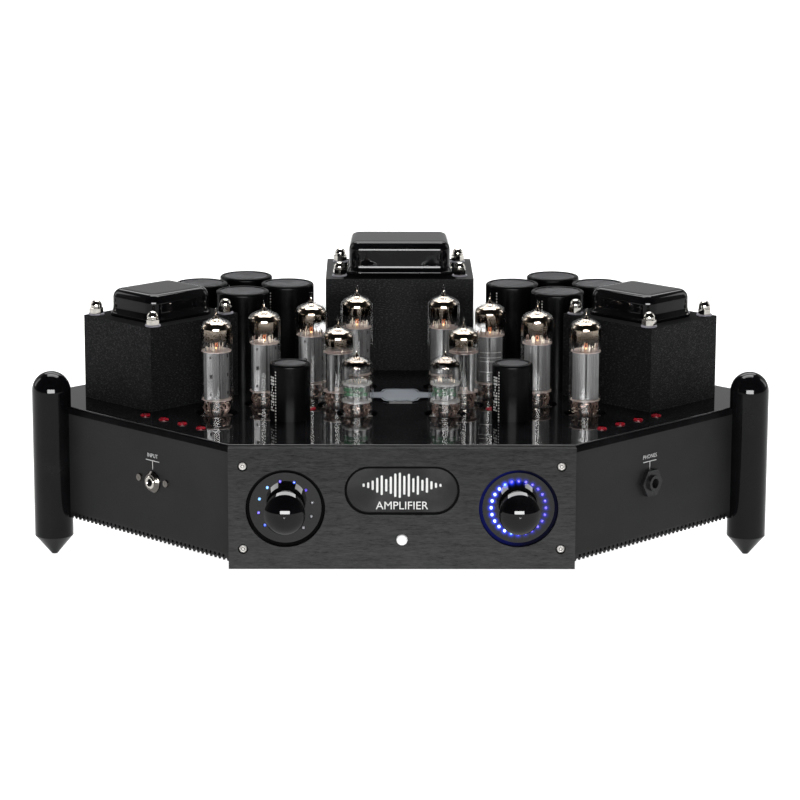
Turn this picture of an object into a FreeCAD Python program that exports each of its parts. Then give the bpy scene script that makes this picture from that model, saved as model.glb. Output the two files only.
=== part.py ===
"""Stereo tube amplifier, built as an assembly of separate pieces.

Frame: millimetres, +X to the amplifier's right, +Y to the back, +Z up.
The origin is on the floor, under the middle of the whole amplifier.
The chassis is an eight-sided tray that stands on four round legs. Its deck carries the tubes,
the transformers and the capacitor cans. The thick faceplate in front carries the two knobs.
"""
import FreeCAD
import Part
import Sketcher
import math
import os
import types
from FreeCAD import Placement, Rotation, Vector

DIMENSIONS = (
    ("front_y", -156.5, "front wall of the chassis, which is the back of the faceplate"),
    ("front_half", 107.8, "half width of the front wall and of the faceplate"),
    ("side_x", 231.0, "half width of the chassis at its side facets"),
    ("facet_rear_y", 6.3, "rear end of a side facet"),
    ("rear_y", 160.0, "rear wall of the chassis"),
    ("wall", 2.5, "sheet thickness of the chassis walls"),
    ("deck_top", 100.0, "upper face of the deck above the floor"),
    ("deck_thick", 4.7, "deck thickness"),
    ("deck_round", 1.5, "rounding of the deck's upper edge"),
    ("panel_bottom", 30.1, "lower edge of the side panels"),
    ("cover_bottom", 25.4, "lower face of the bottom cover"),
    ("cover_floor", 1.5, "floor thickness of the bottom cover"),
    ("leg_radius", 12.7, "leg radius"),
    ("leg_tip", 12.7, "height of the cone under a leg"),
    ("leg_tip_radius", 2.0, "flat at the point of the cone"),
    ("leg_dome_z", 110.0, "where the domed top of a leg starts"),
    ("front_leg_x", 228.6, "front leg axis, from the middle"),
    ("front_leg_y", -42.0, "front leg axis"),
    ("rear_leg_x", 80.0, "rear leg axis, from the middle"),
    ("rear_leg_y", 164.0, "rear leg axis"),
    ("plate_thick", 6.35, "faceplate thickness"),
    ("plate_bottom", 22.2, "lower edge of the faceplate"),
    ("plate_top", 99.2, "upper edge of the faceplate"),
    ("ring_x", 72.4, "knob axis, from the middle"),
    ("ring_z", 60.9, "knob axis above the floor"),
    ("ring_hole_radius", 24.7, "round opening in the faceplate"),
    ("disc_radius", 22.4, "front of the light disc in that opening"),
    ("disc_flange_radius", 30.0, "flange of the light disc behind the faceplate"),
    ("disc_flange_thick", 2.0, "thickness of that flange"),
    ("disc_recess", 2.5, "depth of the disc's front under the faceplate's face"),
    ("led_circle", 17.0, "radius of the circle of lights"),
    ("led_radius", 1.0, "radius of one light"),
    ("window_half", 35.75, "half length of the round-ended window"),
    ("window_bottom", 57.0, "lower edge of the window"),
    ("window_top", 87.9, "upper edge of the window"),
    ("window_depth", 2.5, "depth of the window's recess"),
    ("window_plate", 1.0, "thickness of the plate in the window"),
    ("screw_x", 98.8, "faceplate screw, from the middle"),
    ("screw_low_z", 35.0, "lower faceplate screws"),
    ("screw_high_z", 87.7, "upper faceplate screws"),
    ("button_z", 41.2, "standby button above the floor"),
    ("button_radius", 3.4, "standby button radius"),
    ("knob_radius", 12.75, "widest part of a knob"),
    ("knob_reach", 22.15, "front of a knob ahead of the faceplate"),
    ("shaft_radius", 3.0, "encoder shaft radius"),
    ("tube_radius", 10.8, "glass radius of a tube"),
    ("glass", 0.9, "glass thickness"),
    ("glass_lift", -1.8, "bottom of the glass, from the top of the deck"),
    ("socket_hole", 13.5, "radius of the deck hole round a tube"),
    ("socket_radius", 11.0, "tube socket radius"),
    ("socket_drop", 2.5, "top of a socket below the deck's top"),
    ("pin_circle", 5.95, "radius of the nine-pin circle"),
    ("pin_radius", 0.5, "tube pin radius"),
    ("board_top", 78.0, "upper face of the main circuit board"),
    ("board_thick", 1.6, "circuit board thickness"),
    ("output_height", 69.3, "tip of an output tube above the deck"),
    ("driver_height", 58.7, "tip of a driver tube above the deck"),
    ("input_height", 44.8, "tip of an input tube above the deck"),
    ("output_x", 158.2, "output transformer, from the middle"),
    ("output_y", -12.9, "output transformer"),
    ("output_length", 66.5, "output core along the side panel"),
    ("output_width", 76.2, "output core across"),
    ("output_stack", 55.3, "output core height"),
    ("output_leg", 25.4, "middle leg of the output core"),
    ("output_bell", 18.0, "height of the output transformer's end bell"),
    ("output_bolt_end", 5.0, "output core bolt, in from the core's end"),
    ("output_bolt_side", 6.4, "output core bolt, in from the core's side"),
    ("power_y", 112.0, "power transformer"),
    ("power_length", 82.0, "power core, front to back"),
    ("power_width", 101.6, "power core, side to side"),
    ("power_stack", 64.0, "power core height"),
    ("power_leg", 33.8, "middle leg of the power core"),
    ("power_bell", 23.0, "height of the power transformer's end bell"),
    ("power_bolt_end", 12.5, "power core bolt, in from the core's end"),
    ("power_bolt_side", 9.3, "power core bolt, in from the core's side"),
    ("coil_gap", 0.3, "clearance between a coil and its core"),
    ("bolt_radius", 2.0, "transformer bolt radius"),
    ("bolt_hole", 2.2, "hole for a transformer bolt"),
    ("can_radius", 18.0, "filter capacitor radius"),
    ("can_top", 163.9, "top of the filter capacitors"),
    ("can_x", 106.0, "middle of a group of four filter capacitors"),
    ("can_y", 57.7, "middle of a group of four filter capacitors"),
    ("can_step", 29.3, "from the middle of the group to each capacitor"),
    ("small_can_radius", 13.0, "small capacitor radius"),
    ("small_can_top", 136.5, "top of the small capacitors"),
    ("small_can_x", 71.4, "small capacitor, from the middle"),
    ("small_can_y", -79.0, "small capacitor"),
    ("jack_x", 158.4, "front side jacks, from the middle"),
    ("jack_z", 64.0, "front side jacks above the floor"),
    ("phono_radius", 4.15, "outside of a phono jack"),
    ("post_radius", 3.0, "threaded stud of a speaker post"),
    ("cap_radius", 6.5, "screw cap of a speaker post"),
    ("post_reach", 25.05, "end of a speaker cap behind the rear wall"),
    ("running", 0.05, "radial clearance of a turning fit"),
)

SOCKET_PINS = 9
OUTPUT_TUBES_PER_SIDE = 4
TRIMMERS_PER_SIDE = 4
SIDES = (("left", -1), ("right", 1))
EIGHTH = 45.0
ROOT_TWO = math.sqrt(2.0)

UPRIGHT = Rotation()
FACING_FRONT = Rotation(Vector(1, 0, 0), 90)
FACING_REAR = Rotation(Vector(1, 0, 0), -90)


class Size:
    """A length together with the sheet expression that gives it, so that sums keep both."""

    def __init__(self, value, text):
        self.value = value
        self.text = text

    @staticmethod
    def of(item):
        if isinstance(item, Size):
            return item
        number = round(float(item), 6)
        return Size(number, "(%s)" % number)

    def join(self, sign, other, value):
        return Size(value, "(%s %s %s)" % (self.text, sign, other.text))

    def __add__(self, other):
        other = Size.of(other)
        return self.join("+", other, self.value + other.value)

    def __radd__(self, other):
        return Size.of(other) + self

    def __sub__(self, other):
        other = Size.of(other)
        return self.join("-", other, self.value - other.value)

    def __rsub__(self, other):
        return Size.of(other) - self

    def __mul__(self, other):
        other = Size.of(other)
        return self.join("*", other, self.value * other.value)

    def __rmul__(self, other):
        return Size.of(other) * self

    def __truediv__(self, other):
        other = Size.of(other)
        return self.join("/", other, self.value / other.value)

    def __neg__(self):
        return Size.of(-1) * self

    def root(self):
        return Size(math.sqrt(self.value), "sqrt(%s)" % self.text)


doc = FreeCAD.newDocument("TubeAmplifier")
pieces = []


def make_sheet():
    """The driving dimensions: a note, and a plain number with an alias, on each row."""
    sheet = doc.addObject("Spreadsheet::Sheet", "Dims")
    sizes = types.SimpleNamespace()
    for row, (alias, number, note) in enumerate(DIMENSIONS, start=1):
        sheet.set("A%d" % row, note)
        sheet.set("B%d" % row, str(number))
        sheet.setAlias("B%d" % row, alias)
        setattr(sizes, alias, Size(number, "Dims." + alias))
    doc.recompute()
    return sizes


d = make_sheet()


# ---- small modelling helpers -------------------------------------------------------------


def bind(item, prop, size):
    item.setExpression(prop, Size.of(size).text)


def locate(item, base=(0, 0, 0), rotation=UPRIGHT):
    """Give an object its place, with each coordinate bound to the sheet."""
    sizes = [Size.of(value) for value in base]
    item.Placement = Placement(Vector(*[size.value for size in sizes]), rotation)
    for axis, size in zip("xyz", sizes):
        bind(item, "Placement.Base." + axis, size)
    return item


def keep(item, label):
    """Mark an object as one of the amplifier's pieces, exported under its label."""
    item.Label = label
    pieces.append(item)
    return item


def cylinder(name, radius, height, base=(0, 0, 0), rotation=UPRIGHT):
    item = doc.addObject("Part::Cylinder", name)
    bind(item, "Radius", radius)
    bind(item, "Height", height)
    return locate(item, base, rotation)


def block(name, length, width, height, base=(0, 0, 0), rotation=UPRIGHT):
    """A box centred on the middle of its own lower face."""
    item = doc.addObject("Part::Box", name)
    bind(item, "Length", length)
    bind(item, "Width", width)
    bind(item, "Height", height)
    middle = Vector(-Size.of(length).value / 2, -Size.of(width).value / 2, 0)
    shifted = rotation.multVec(middle)
    corner = [Size.of(value) + shift for value, shift in zip(base, shifted)]
    return locate(item, corner, rotation)


def group(name, members):
    item = doc.addObject("Part::Compound", name)
    item.Links = members
    return item


def copies(name, prototype, places):
    """Separate copies of one object, each moved from its own place by (base, rotation)."""
    links = []
    for index, (base, rotation) in enumerate(places, start=1):
        link = doc.addObject("App::Link", "%s_%d" % (name, index))
        link.LinkedObject = prototype
        link.LinkTransform = True
        links.append(locate(link, base, rotation))
    return group(name, links)


def fuse(name, members):
    item = doc.addObject("Part::MultiFuse", name)
    item.Shapes = members
    return item


def cut(name, base, tools):
    item = doc.addObject("Part::Cut", name)
    item.Base = base
    item.Tool = tools[0] if len(tools) == 1 else group(name + "_tools", tools)
    return item


def origin_plane(body, role):
    return next(feature for feature in body.Origin.OriginFeatures if feature.Role == role)


def arc_between(start, end, radius, turn):
    """The short arc from start to end; turn is 1 counter-clockwise and -1 clockwise."""
    chord = end - start
    rise = math.sqrt(max(radius ** 2 - (chord.Length / 2) ** 2, 0.0))
    sideways = Vector(-chord.y, chord.x, 0).normalize() * rise * turn
    centre = (start + end) / 2 + sideways
    first, last = (start, end) if turn > 0 else (end, start)
    angles = [math.atan2(point.y - centre.y, point.x - centre.x) for point in (first, last)]
    if angles[1] <= angles[0]:
        angles[1] += 2 * math.pi
    circle = Part.Circle(centre, Vector(0, 0, 1), radius)
    return Part.ArcOfCircle(circle, angles[0], angles[1])


def add_loop(sketch, points):
    """A closed loop through the points. A point (x, y, radius, turn) starts an arc."""
    first = sketch.GeometryCount
    count = len(points)
    corners = [Vector(Size.of(p[0]).value, Size.of(p[1]).value, 0) for p in points]
    constraints = []
    targets = []
    ends = []
    for index, point in enumerate(points):
        start = corners[index]
        end = corners[(index + 1) % count]
        if len(point) == 2:
            sketch.addGeometry(Part.LineSegment(start, end))
            ends.append((1, 2))
        else:
            radius = Size.of(point[2])
            sketch.addGeometry(arc_between(start, end, radius.value, point[3]))
            ends.append((1, 2) if point[3] > 0 else (2, 1))
            constraints.append(Sketcher.Constraint("Radius", first + index, radius.value))
            targets.append(radius)
    for index, point in enumerate(points):
        after = (index + 1) % count
        edge = first + index
        constraints.append(
            Sketcher.Constraint("Coincident", edge, ends[index][1], first + after, ends[after][0]))
        targets.append(None)
        for kind, size in (("DistanceX", point[0]), ("DistanceY", point[1])):
            size = Size.of(size)
            constraints.append(
                Sketcher.Constraint(kind, -1, 1, edge, ends[index][0], size.value))
            targets.append(size)
    bind_constraints(sketch, constraints, targets)


def add_circle(sketch, centre_x, centre_y, radius):
    sizes = [Size.of(value) for value in (centre_x, centre_y, radius)]
    middle = Vector(sizes[0].value, sizes[1].value, 0)
    edge = sketch.addGeometry(Part.Circle(middle, Vector(0, 0, 1), sizes[2].value))
    constraints = [
        Sketcher.Constraint("DistanceX", -1, 1, edge, 3, sizes[0].value),
        Sketcher.Constraint("DistanceY", -1, 1, edge, 3, sizes[1].value),
        Sketcher.Constraint("Radius", edge, sizes[2].value),
    ]
    bind_constraints(sketch, constraints, sizes)


def bind_constraints(sketch, constraints, targets):
    start = sketch.ConstraintCount
    sketch.addConstraint(constraints)
    for offset, size in enumerate(targets):
        if size is not None:
            bind(sketch, "Constraints[%d]" % (start + offset), size)


def new_sketch(body, name, role, loops=(), circles=(), height=0):
    sketch = body.newObject("Sketcher::SketchObject", name)
    sketch.AttachmentSupport = [(origin_plane(body, role), "")]
    sketch.MapMode = "FlatFace"
    bind(sketch, "AttachmentOffset.Base.z", height)
    for points in loops:
        add_loop(sketch, points)
    for centre_x, centre_y, radius in circles:
        add_circle(sketch, centre_x, centre_y, radius)
    return sketch


def revolved(name, points):
    """A turned piece: points are (radius, height) round the Z axis."""
    body = doc.addObject("PartDesign::Body", name)
    sketch = new_sketch(body, name + "_profile", "XZ_Plane", [points])
    turned = body.newObject("PartDesign::Revolution", name + "_turned")
    turned.Profile = sketch
    turned.ReferenceAxis = (sketch, ["V_Axis"])
    turned.Angle = 360
    return body


def padded(name, role, loops, length, circles=(), height=0, backward=False):
    """A plate: the loops and circles on an origin plane, made thick by length."""
    body = doc.addObject("PartDesign::Body", name)
    sketch = new_sketch(body, name + "_outline", role, loops, circles, height)
    pad = body.newObject("PartDesign::Pad", name + "_pad")
    pad.Profile = sketch
    pad.Reversed = backward
    bind(pad, "Length", length)
    doc.recompute()
    return body


def pocketed(body, name, role, loops, depth, circles=(), height=0, backward=False):
    """Cut a pocket in a body, and make sure that it removes material."""
    before = body.Shape.Volume
    sketch = new_sketch(body, name + "_outline", role, loops, circles, height)
    pocket = body.newObject("PartDesign::Pocket", name)
    pocket.Profile = sketch
    pocket.Reversed = backward
    bind(pocket, "Length", depth)
    doc.recompute()
    if body.Shape.Volume >= before:
        raise RuntimeError(name + " cuts nothing")
    return body


def rounded(body, name, radius, chosen):
    """Round the edges of the body's last feature that the test picks."""
    base = body.Tip
    edges = ["Edge%d" % number for number, edge in enumerate(base.Shape.Edges, 1) if chosen(edge)]
    fillet = body.newObject("PartDesign::Fillet", name)
    fillet.Base = (base, edges)
    bind(fillet, "Radius", radius)
    doc.recompute()
    return body


def mirrored_sides(places):
    """The same places on both sides of the middle plane."""
    return [((-x, y, z), rotation) for (x, y, z), rotation in places] + list(places)


# ---- chassis -----------------------------------------------------------------------------


def chassis_outline(inset):
    """Corners of the eight-sided plan, each wall moved in by the inset, from the right front."""
    difference = d.front_half - d.front_y - inset * ROOT_TWO
    total = d.side_x + d.facet_rear_y - inset * ROOT_TWO
    side = d.side_x - inset
    front = d.front_y + inset
    rear = d.rear_y - inset
    right = [
        (difference + front, front),
        (side, side - difference),
        (side, total - side),
        (total - rear, rear),
    ]
    return right + [(-x, y) for x, y in reversed(right)]


def wall_between(name, first, last):
    """The upright wall along the chassis outline from one corner to another, mitred."""
    outer = chassis_outline(0)
    inner = chassis_outline(d.wall)
    loop = outer[first:last + 1] + list(reversed(inner[first:last + 1]))
    tall = d.deck_top - d.deck_thick - d.panel_bottom
    return padded(name, "XY_Plane", [loop], tall, height=d.panel_bottom)


def output_tube_places():
    """Four places in a slanting row on each side, from the outside to the middle."""
    first_x, first_y, step_x, step_y = 119.3, -64.0, -30.1, 27.0
    places = []
    for index in range(OUTPUT_TUBES_PER_SIDE):
        places.append(((first_x + step_x * index, first_y + step_y * index, d.deck_top), UPRIGHT))
    return mirrored_sides(places)


DRIVER_PLACES = mirrored_sides([((41.0, -40.0, d.deck_top), UPRIGHT)])
INPUT_PLACES = mirrored_sides([((28.6, -66.0, d.deck_top), UPRIGHT)])
TUBE_PLACES = output_tube_places() + DRIVER_PLACES + INPUT_PLACES


def can_places(height):
    places = []
    for step_x, step_y in ((0, -1), (-1, 0), (0, 1), (1, 0)):
        place = (d.can_x + step_x * d.can_step, d.can_y + step_y * d.can_step, height)
        places.append((place, UPRIGHT))
    return mirrored_sides(places)


def small_can_places(height):
    return mirrored_sides([((d.small_can_x, d.small_can_y, height), UPRIGHT)])


def test_jack_places(height):
    """A row of four along each front side edge, and one beside the driver tubes."""
    first_x, first_y, step = 164.9, -73.0, 12.6
    places = []
    for index in range(TRIMMERS_PER_SIDE):
        places.append(((first_x - step * index, first_y - step * index, height), UPRIGHT))
    places.append(((58.5, -53.0, height), UPRIGHT))
    return mirrored_sides(places)


def trimmer_places(height):
    """Each trimmer is straight behind its test jack."""
    behind = 8.0
    places = []
    for (x, y, z), rotation in test_jack_places(height):
        if abs(x) > 100:
            places.append(((x, y + behind, z), rotation))
    return places


STANDOFF_PLACES = mirrored_sides([
    ((198.0, 8.0, d.board_top), UPRIGHT),
    ((100.0, -135.0, d.board_top), UPRIGHT),
    ((60.0, 138.0, d.board_top), UPRIGHT),
    ((170.0, 38.0, d.board_top), UPRIGHT),
])


def output_transformer_places(height):
    """The output transformers stand square to the front side panels."""
    places = []
    for _, side in SIDES:
        turn = Rotation(Vector(0, 0, 1), EIGHTH * side)
        places.append(((side * d.output_x, d.output_y, height), turn))
    return places


def power_transformer_places(height):
    return [((0, d.power_y, height), Rotation(Vector(0, 0, 1), 90))]


def bolt_offsets(length, width, end, side):
    """The four bolts of a core, each so far in from its end and from its side."""
    along = length / 2 - end
    across = width / 2 - side
    return [(sx * along, sy * across) for sx in (-1, 1) for sy in (-1, 1)]


def output_bolts():
    return bolt_offsets(d.output_length, d.output_width, d.output_bolt_end, d.output_bolt_side)


def power_bolts():
    return bolt_offsets(d.power_length, d.power_width, d.power_bolt_end, d.power_bolt_side)


def bolt_places(height):
    """Every transformer bolt, in the amplifier's frame."""
    kinds = (
        (output_transformer_places(height), output_bolts()),
        (power_transformer_places(height), power_bolts()),
    )
    places = []
    for transformers, offsets in kinds:
        for (x, y, z), rotation in transformers:
            for along, across in offsets:
                shift = rotation.multVec(Vector(along.value, across.value, 0))
                places.append(((x + shift.x, y + shift.y, z), rotation))
    return places


def make_deck():
    """The deck plate, with a hole for everything that passes through it."""
    bottom = d.deck_top - d.deck_thick
    body = padded("deck", "XY_Plane", [chassis_outline(0)], d.deck_thick, height=bottom)
    top = d.deck_top.value
    rounded(body, "deck_edge", d.deck_round,
            lambda edge: all(abs(vertex.Z - top) < 1e-6 for vertex in edge.Vertexes))
    deep = d.deck_thick * 3
    low = bottom - d.deck_thick

    def holes(name, radius, places):
        drill = cylinder(name + "_drill", radius, deep)
        return copies(name, drill, [((x, y, low), rotation) for (x, y, _), rotation in places])

    tools = [
        holes("socket_holes", d.socket_hole, TUBE_PLACES),
        holes("can_holes", d.can_radius + 0.3, can_places(low)),
        holes("small_can_holes", d.small_can_radius + 0.3, small_can_places(low)),
        holes("test_holes", 2.7, test_jack_places(low)),
        holes("trimmer_holes", 2.2, trimmer_places(low)),
        holes("bolt_holes", d.bolt_hole, bolt_places(low)),
    ]
    for name, length, width, places in (
        ("output_coil_holes", d.output_length - d.output_leg + 1.0, 2 * d.output_leg + 1.0,
         output_transformer_places(low)),
        ("power_coil_hole", d.power_length - d.power_leg + 1.0, 2 * d.power_leg + 1.0,
         power_transformer_places(low)),
    ):
        punch = block(name + "_punch", length, width, deep)
        tools.append(copies(name, punch, places))
    keep(cut("deck_plate", body, tools), "deck_plate")


def side_normal(side, rear=False):
    """Rotation that points +Z out of a front side or rear side wall."""
    if rear:
        return Rotation(Vector(0, 0, 1), -EIGHTH * side) * FACING_REAR
    return Rotation(Vector(0, 0, 1), EIGHTH * side) * FACING_FRONT


def jack_place(side, inward=0):
    """The point where a front side jack's axis meets the outer face of its panel."""
    slope = inward / ROOT_TWO
    y = d.jack_x - (d.front_half - d.front_y)
    return (side * (d.jack_x - slope), y + slope, d.jack_z)


PHONO_OFFSETS = (-36.0, -12.0, 12.0, 36.0)
POST_PLACES = tuple((x, 70.0) for x in (-54.0, -32.0, 32.0, 54.0))
INLET_Z = 52.0
ROCKER_Z = 81.0


def phono_places():
    """Phono jacks along both rear side walls."""
    total = d.side_x + d.facet_rear_y
    middle_x = (d.side_x + total - d.rear_y) / 2
    places = []
    for _, side in SIDES:
        for offset in PHONO_OFFSETS:
            x = middle_x + offset / ROOT_TWO
            places.append(((side * x, total - x, 60.0), side_normal(side, rear=True)))
    return places


def make_walls():
    for name, side, first in (("side_panel_right", 1, 0), ("side_panel_left", -1, 6)):
        panel = wall_between(name + "_sheet", first, first + 1)
        drill = cylinder(name + "_drill", 5.2 if side > 0 else 4.6, 20.0,
                         jack_place(side, inward=10.0), side_normal(side))
        tools = [drill]
        if side < 0:
            for number, along in enumerate((-12.8, 12.8)):
                x, y, z = jack_place(side, inward=10.0)
                shift = along / ROOT_TWO
                place = (x + shift, y - shift, z + 1.0)
                tools.append(cylinder("jack_screw_drill_%d" % number, 1.6, 20.0, place,
                                      side_normal(side)))
        keep(cut(name, panel, tools), name)

    shell = wall_between("rear_shell_sheet", 1, 6)
    outside = d.rear_y + 5.0
    phono_drill = cylinder("phono_drill", d.phono_radius + 0.1, 20.0, (0, 0, -10.0))
    tools = [copies("phono_holes", phono_drill, phono_places())]
    post_drill = cylinder("post_drill", d.post_radius + 0.2, 20.0, (0, 0, -15.0))
    post_places = [((x, outside, z), FACING_REAR) for x, z in POST_PLACES]
    tools.append(copies("post_holes", post_drill, post_places))
    tools.append(block("inlet_punch", 27.6, 20.0, 20.0, (0, d.rear_y - 10.0, INLET_Z),
                       FACING_REAR))
    tools.append(block("rocker_punch", 19.2, 13.2, 20.0, (0, d.rear_y - 10.0, ROCKER_Z),
                       FACING_REAR))
    keep(cut("rear_shell", shell, tools), "rear_shell")

    outer = chassis_outline(0)
    inner = chassis_outline(d.wall)
    loop = [outer[7], outer[0], inner[0], inner[7]]
    tall = d.deck_top - d.deck_thick - d.panel_bottom
    sheet = padded("front_sheet", "XY_Plane", [loop], tall, height=d.panel_bottom)
    tools = []
    for name, side in SIDES:
        tools.append(cylinder(name + "_disc_drill", d.disc_flange_radius + 0.2, 20.0,
                              (side * d.ring_x, d.front_y + 10.0, d.ring_z), FACING_FRONT))
    tools.append(cylinder("button_drill", d.button_radius + 0.1, 20.0,
                          (0, d.front_y + 10.0, d.button_z), FACING_FRONT))
    screw_drill = cylinder("screw_drill", 1.5, 20.0)
    places = [((x, d.front_y + 10.0, z), FACING_FRONT) for x, z in screw_points()]
    tools.append(copies("screw_drills", screw_drill, places))
    keep(cut("front_subpanel", sheet, tools), "front_subpanel")


def make_bottom():
    """A shallow tray with rows of air slots in its floor."""
    tall = d.panel_bottom - d.cover_bottom
    body = padded("bottom_tray", "XY_Plane", [chassis_outline(0)], tall, height=d.cover_bottom)
    pocketed(body, "tray_pocket", "XY_Plane", [chassis_outline(d.wall)], tall - d.cover_floor,
             height=d.panel_bottom)
    slot = block("air_slot", 70.0, 4.0, 10.0)
    columns = (-140.0, -50.0, 50.0, 140.0)
    rows = 6
    pitch = 14.0
    places = []
    for x in columns:
        for row in range(rows):
            places.append(((x, -60.0 + pitch * row, d.cover_bottom - 5.0), UPRIGHT))
    keep(cut("bottom_cover", body, [copies("air_slots", slot, places)]), "bottom_cover")


def make_legs():
    """Round legs with a domed top and a pointed foot, notched where the chassis enters them."""
    leg = revolved("leg", [
        (0, 0),
        (d.leg_tip_radius, 0),
        (d.leg_radius, d.leg_tip),
        (d.leg_radius, d.leg_dome_z, d.leg_radius, 1),
        (0, d.leg_dome_z + d.leg_radius),
    ])
    tall = d.deck_top - d.cover_bottom
    core = padded("chassis_core", "XY_Plane", [chassis_outline(0)], tall, height=d.cover_bottom)
    for label, x, y in (
        ("front_legs", d.front_leg_x, d.front_leg_y),
        ("rear_legs", d.rear_leg_x, d.rear_leg_y),
    ):
        pair = copies(label + "_whole", leg, mirrored_sides([((x, y, 0), UPRIGHT)]))
        keep(cut(label, pair, [core]), label)


# ---- faceplate and its controls ----------------------------------------------------------


def screw_points():
    return [(side * d.screw_x, z) for _, side in SIDES for z in (d.screw_low_z, d.screw_high_z)]


def window_loop(margin):
    """The round-ended window, made smaller all round by the margin."""
    radius = (d.window_top - d.window_bottom) / 2 - margin
    middle = (d.window_top + d.window_bottom) / 2
    straight = d.window_half - margin - radius
    return [
        (-straight, middle - radius),
        (straight, middle - radius, radius, 1),
        (straight + radius, middle, radius, 1),
        (straight, middle + radius),
        (-straight, middle + radius, radius, 1),
        (-straight - radius, middle, radius, 1),
    ]


def make_faceplate():
    front = d.front_y - d.plate_thick
    edge = [
        (-d.front_half, d.plate_bottom),
        (d.front_half, d.plate_bottom),
        (d.front_half, d.plate_top),
        (-d.front_half, d.plate_top),
    ]
    holes = [(side * d.ring_x, d.ring_z, d.ring_hole_radius) for _, side in SIDES]
    holes.append((0, d.button_z, d.button_radius + 0.1))
    holes += [(x, z, 1.7) for x, z in screw_points()]
    body = padded("faceplate_body", "XZ_Plane", [edge], d.plate_thick, holes, backward=True)
    pocketed(body, "window_recess", "XZ_Plane", [window_loop(0)], d.window_depth)
    pocketed(body, "screw_recesses", "XZ_Plane", [], 2.2,
             [(x, z, 3.0) for x, z in screw_points()])
    locate(body, (0, front, 0))
    keep(body, "faceplate")

    inlay = padded("window_inlay", "XZ_Plane", [window_loop(0.2)], d.window_plate, backward=True)
    locate(inlay, (0, front + d.window_depth - d.window_plate, 0))
    keep(inlay, "window_plate")

    screw = revolved("screw", [
        (0, -9.0),
        (1.5, -9.0),
        (1.5, 0),
        (2.5, 0),
        (2.5, 1.4),
        (2.1, 1.9),
        (1.0, 1.9),
        (1.0, 0.7),
        (0, 0.7),
    ])
    places = [((x, front + 2.2, z), FACING_FRONT) for x, z in screw_points()]
    keep(copies("faceplate_screws", screw, places), "faceplate_screws")


def led_angles(side):
    """Ten lights over 270 degrees round the left knob, and a full circle of 24 on the right."""
    if side < 0:
        return [221.0 - 30.0 * index for index in range(10)]
    return [90.0 + 15.0 * index for index in range(24)]


def led_points(side):
    points = []
    for angle in led_angles(side):
        turn = math.radians(angle)
        points.append((d.led_circle * math.cos(turn), d.led_circle * math.sin(turn)))
    return points


def make_knob_groups():
    """For each side: light disc, lights, encoder, its shaft and the knob."""
    boss = d.plate_thick - d.disc_recess
    discs = []
    lights = []
    light = revolved("light", [
        (0, -4.0),
        (d.led_radius, -4.0),
        (d.led_radius, 0),
        (0, 0),
    ])
    for name, side in SIDES:
        axis_x = side * d.ring_x
        holes = [(0, 0, 3.7)]
        holes += [(x, z, d.led_radius + 0.1) for x, z in led_points(side)]
        disc = revolved(name + "_disc", [
            (0, -d.disc_flange_thick),
            (d.disc_flange_radius, -d.disc_flange_thick),
            (d.disc_flange_radius, 0),
            (d.disc_radius, 0),
            (d.disc_radius, boss),
            (0, boss),
        ])
        doc.recompute()
        pocketed(disc, name + "_disc_holes", "XY_Plane", [], 20.0, holes, height=10.0)
        discs.append(locate(disc, (axis_x, d.front_y, d.ring_z), FACING_FRONT))
        for x, z in led_points(side):
            place = (axis_x + x, d.front_y - boss, d.ring_z + z)
            lights.append((place, FACING_FRONT))
    keep(group("ring_discs", discs), "ring_discs")
    keep(copies("ring_leds", light, lights), "ring_leds")

    bushing_long = d.disc_flange_thick + boss
    case = block("encoder_case", 16.0, 16.0, 7.0, (0, 0, -7.0))
    bushing = cylinder("encoder_bushing", 3.5, bushing_long)
    bore = cylinder("encoder_bore", d.shaft_radius + d.running, 20.0, (0, 0, -5.0))
    encoder = cut("encoder", fuse("encoder_solid", [case, bushing]), [bore])
    behind = d.front_y + d.disc_flange_thick
    places = [((side * d.ring_x, behind, d.ring_z), FACING_FRONT) for _, side in SIDES]
    keep(copies("encoders", encoder, places), "encoders")

    gap = 0.6
    tall = d.knob_reach + d.disc_recess - gap
    crown = 17.4
    for name, side in (("selector", -1), ("volume", 1)):
        shaft = revolved(name + "_rod", [
            (0, -4.9),
            (d.shaft_radius, -4.9),
            (d.shaft_radius, bushing_long + 10.0),
            (0, bushing_long + 10.0),
        ])
        locate(shaft, (side * d.ring_x, behind, d.ring_z), FACING_FRONT)
        keep(shaft, name + "_shaft")
        rise = tall - crown
        dome = (d.knob_radius * d.knob_radius + rise * rise) / (2 * rise)
        knob = revolved(name + "_turned_knob", [
            (d.shaft_radius + 0.02, 0),
            (10.6, 0),
            (10.6, 4.2),
            (9.8, 4.6),
            (9.8, 5.6),
            (12.0, 6.2),
            (d.knob_radius, crown, dome, 1),
            (0, tall),
            (0, 12.0),
            (d.shaft_radius + 0.02, 12.0),
        ])
        locate(knob, (side * d.ring_x, d.front_y - boss - gap, d.ring_z), FACING_FRONT)
        keep(knob, name + "_knob")


def make_standby():
    """A sprung push button and the switch behind it."""
    proud = 1.45
    button = revolved("button", [
        (0, -4.0),
        (1.5, -4.0),
        (1.5, 1.0),
        (d.button_radius, 1.0),
        (d.button_radius, d.plate_thick + proud - 0.5),
        (d.button_radius - 0.5, d.plate_thick + proud),
        (0, d.plate_thick + proud),
    ])
    locate(button, (0, d.front_y, d.button_z), FACING_FRONT)
    keep(button, "standby_button")
    case = block("switch_case", 10.0, 10.0, 8.0, (0, d.front_y + d.wall + 8.0, d.button_z),
                 FACING_FRONT)
    bore = cylinder("switch_bore", 1.55, 10.0, (0, d.front_y + d.wall + 4.0, d.button_z),
                    FACING_FRONT)
    keep(cut("standby_switch", case, [bore]), "standby_switch")


# ---- tubes -------------------------------------------------------------------------------


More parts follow.
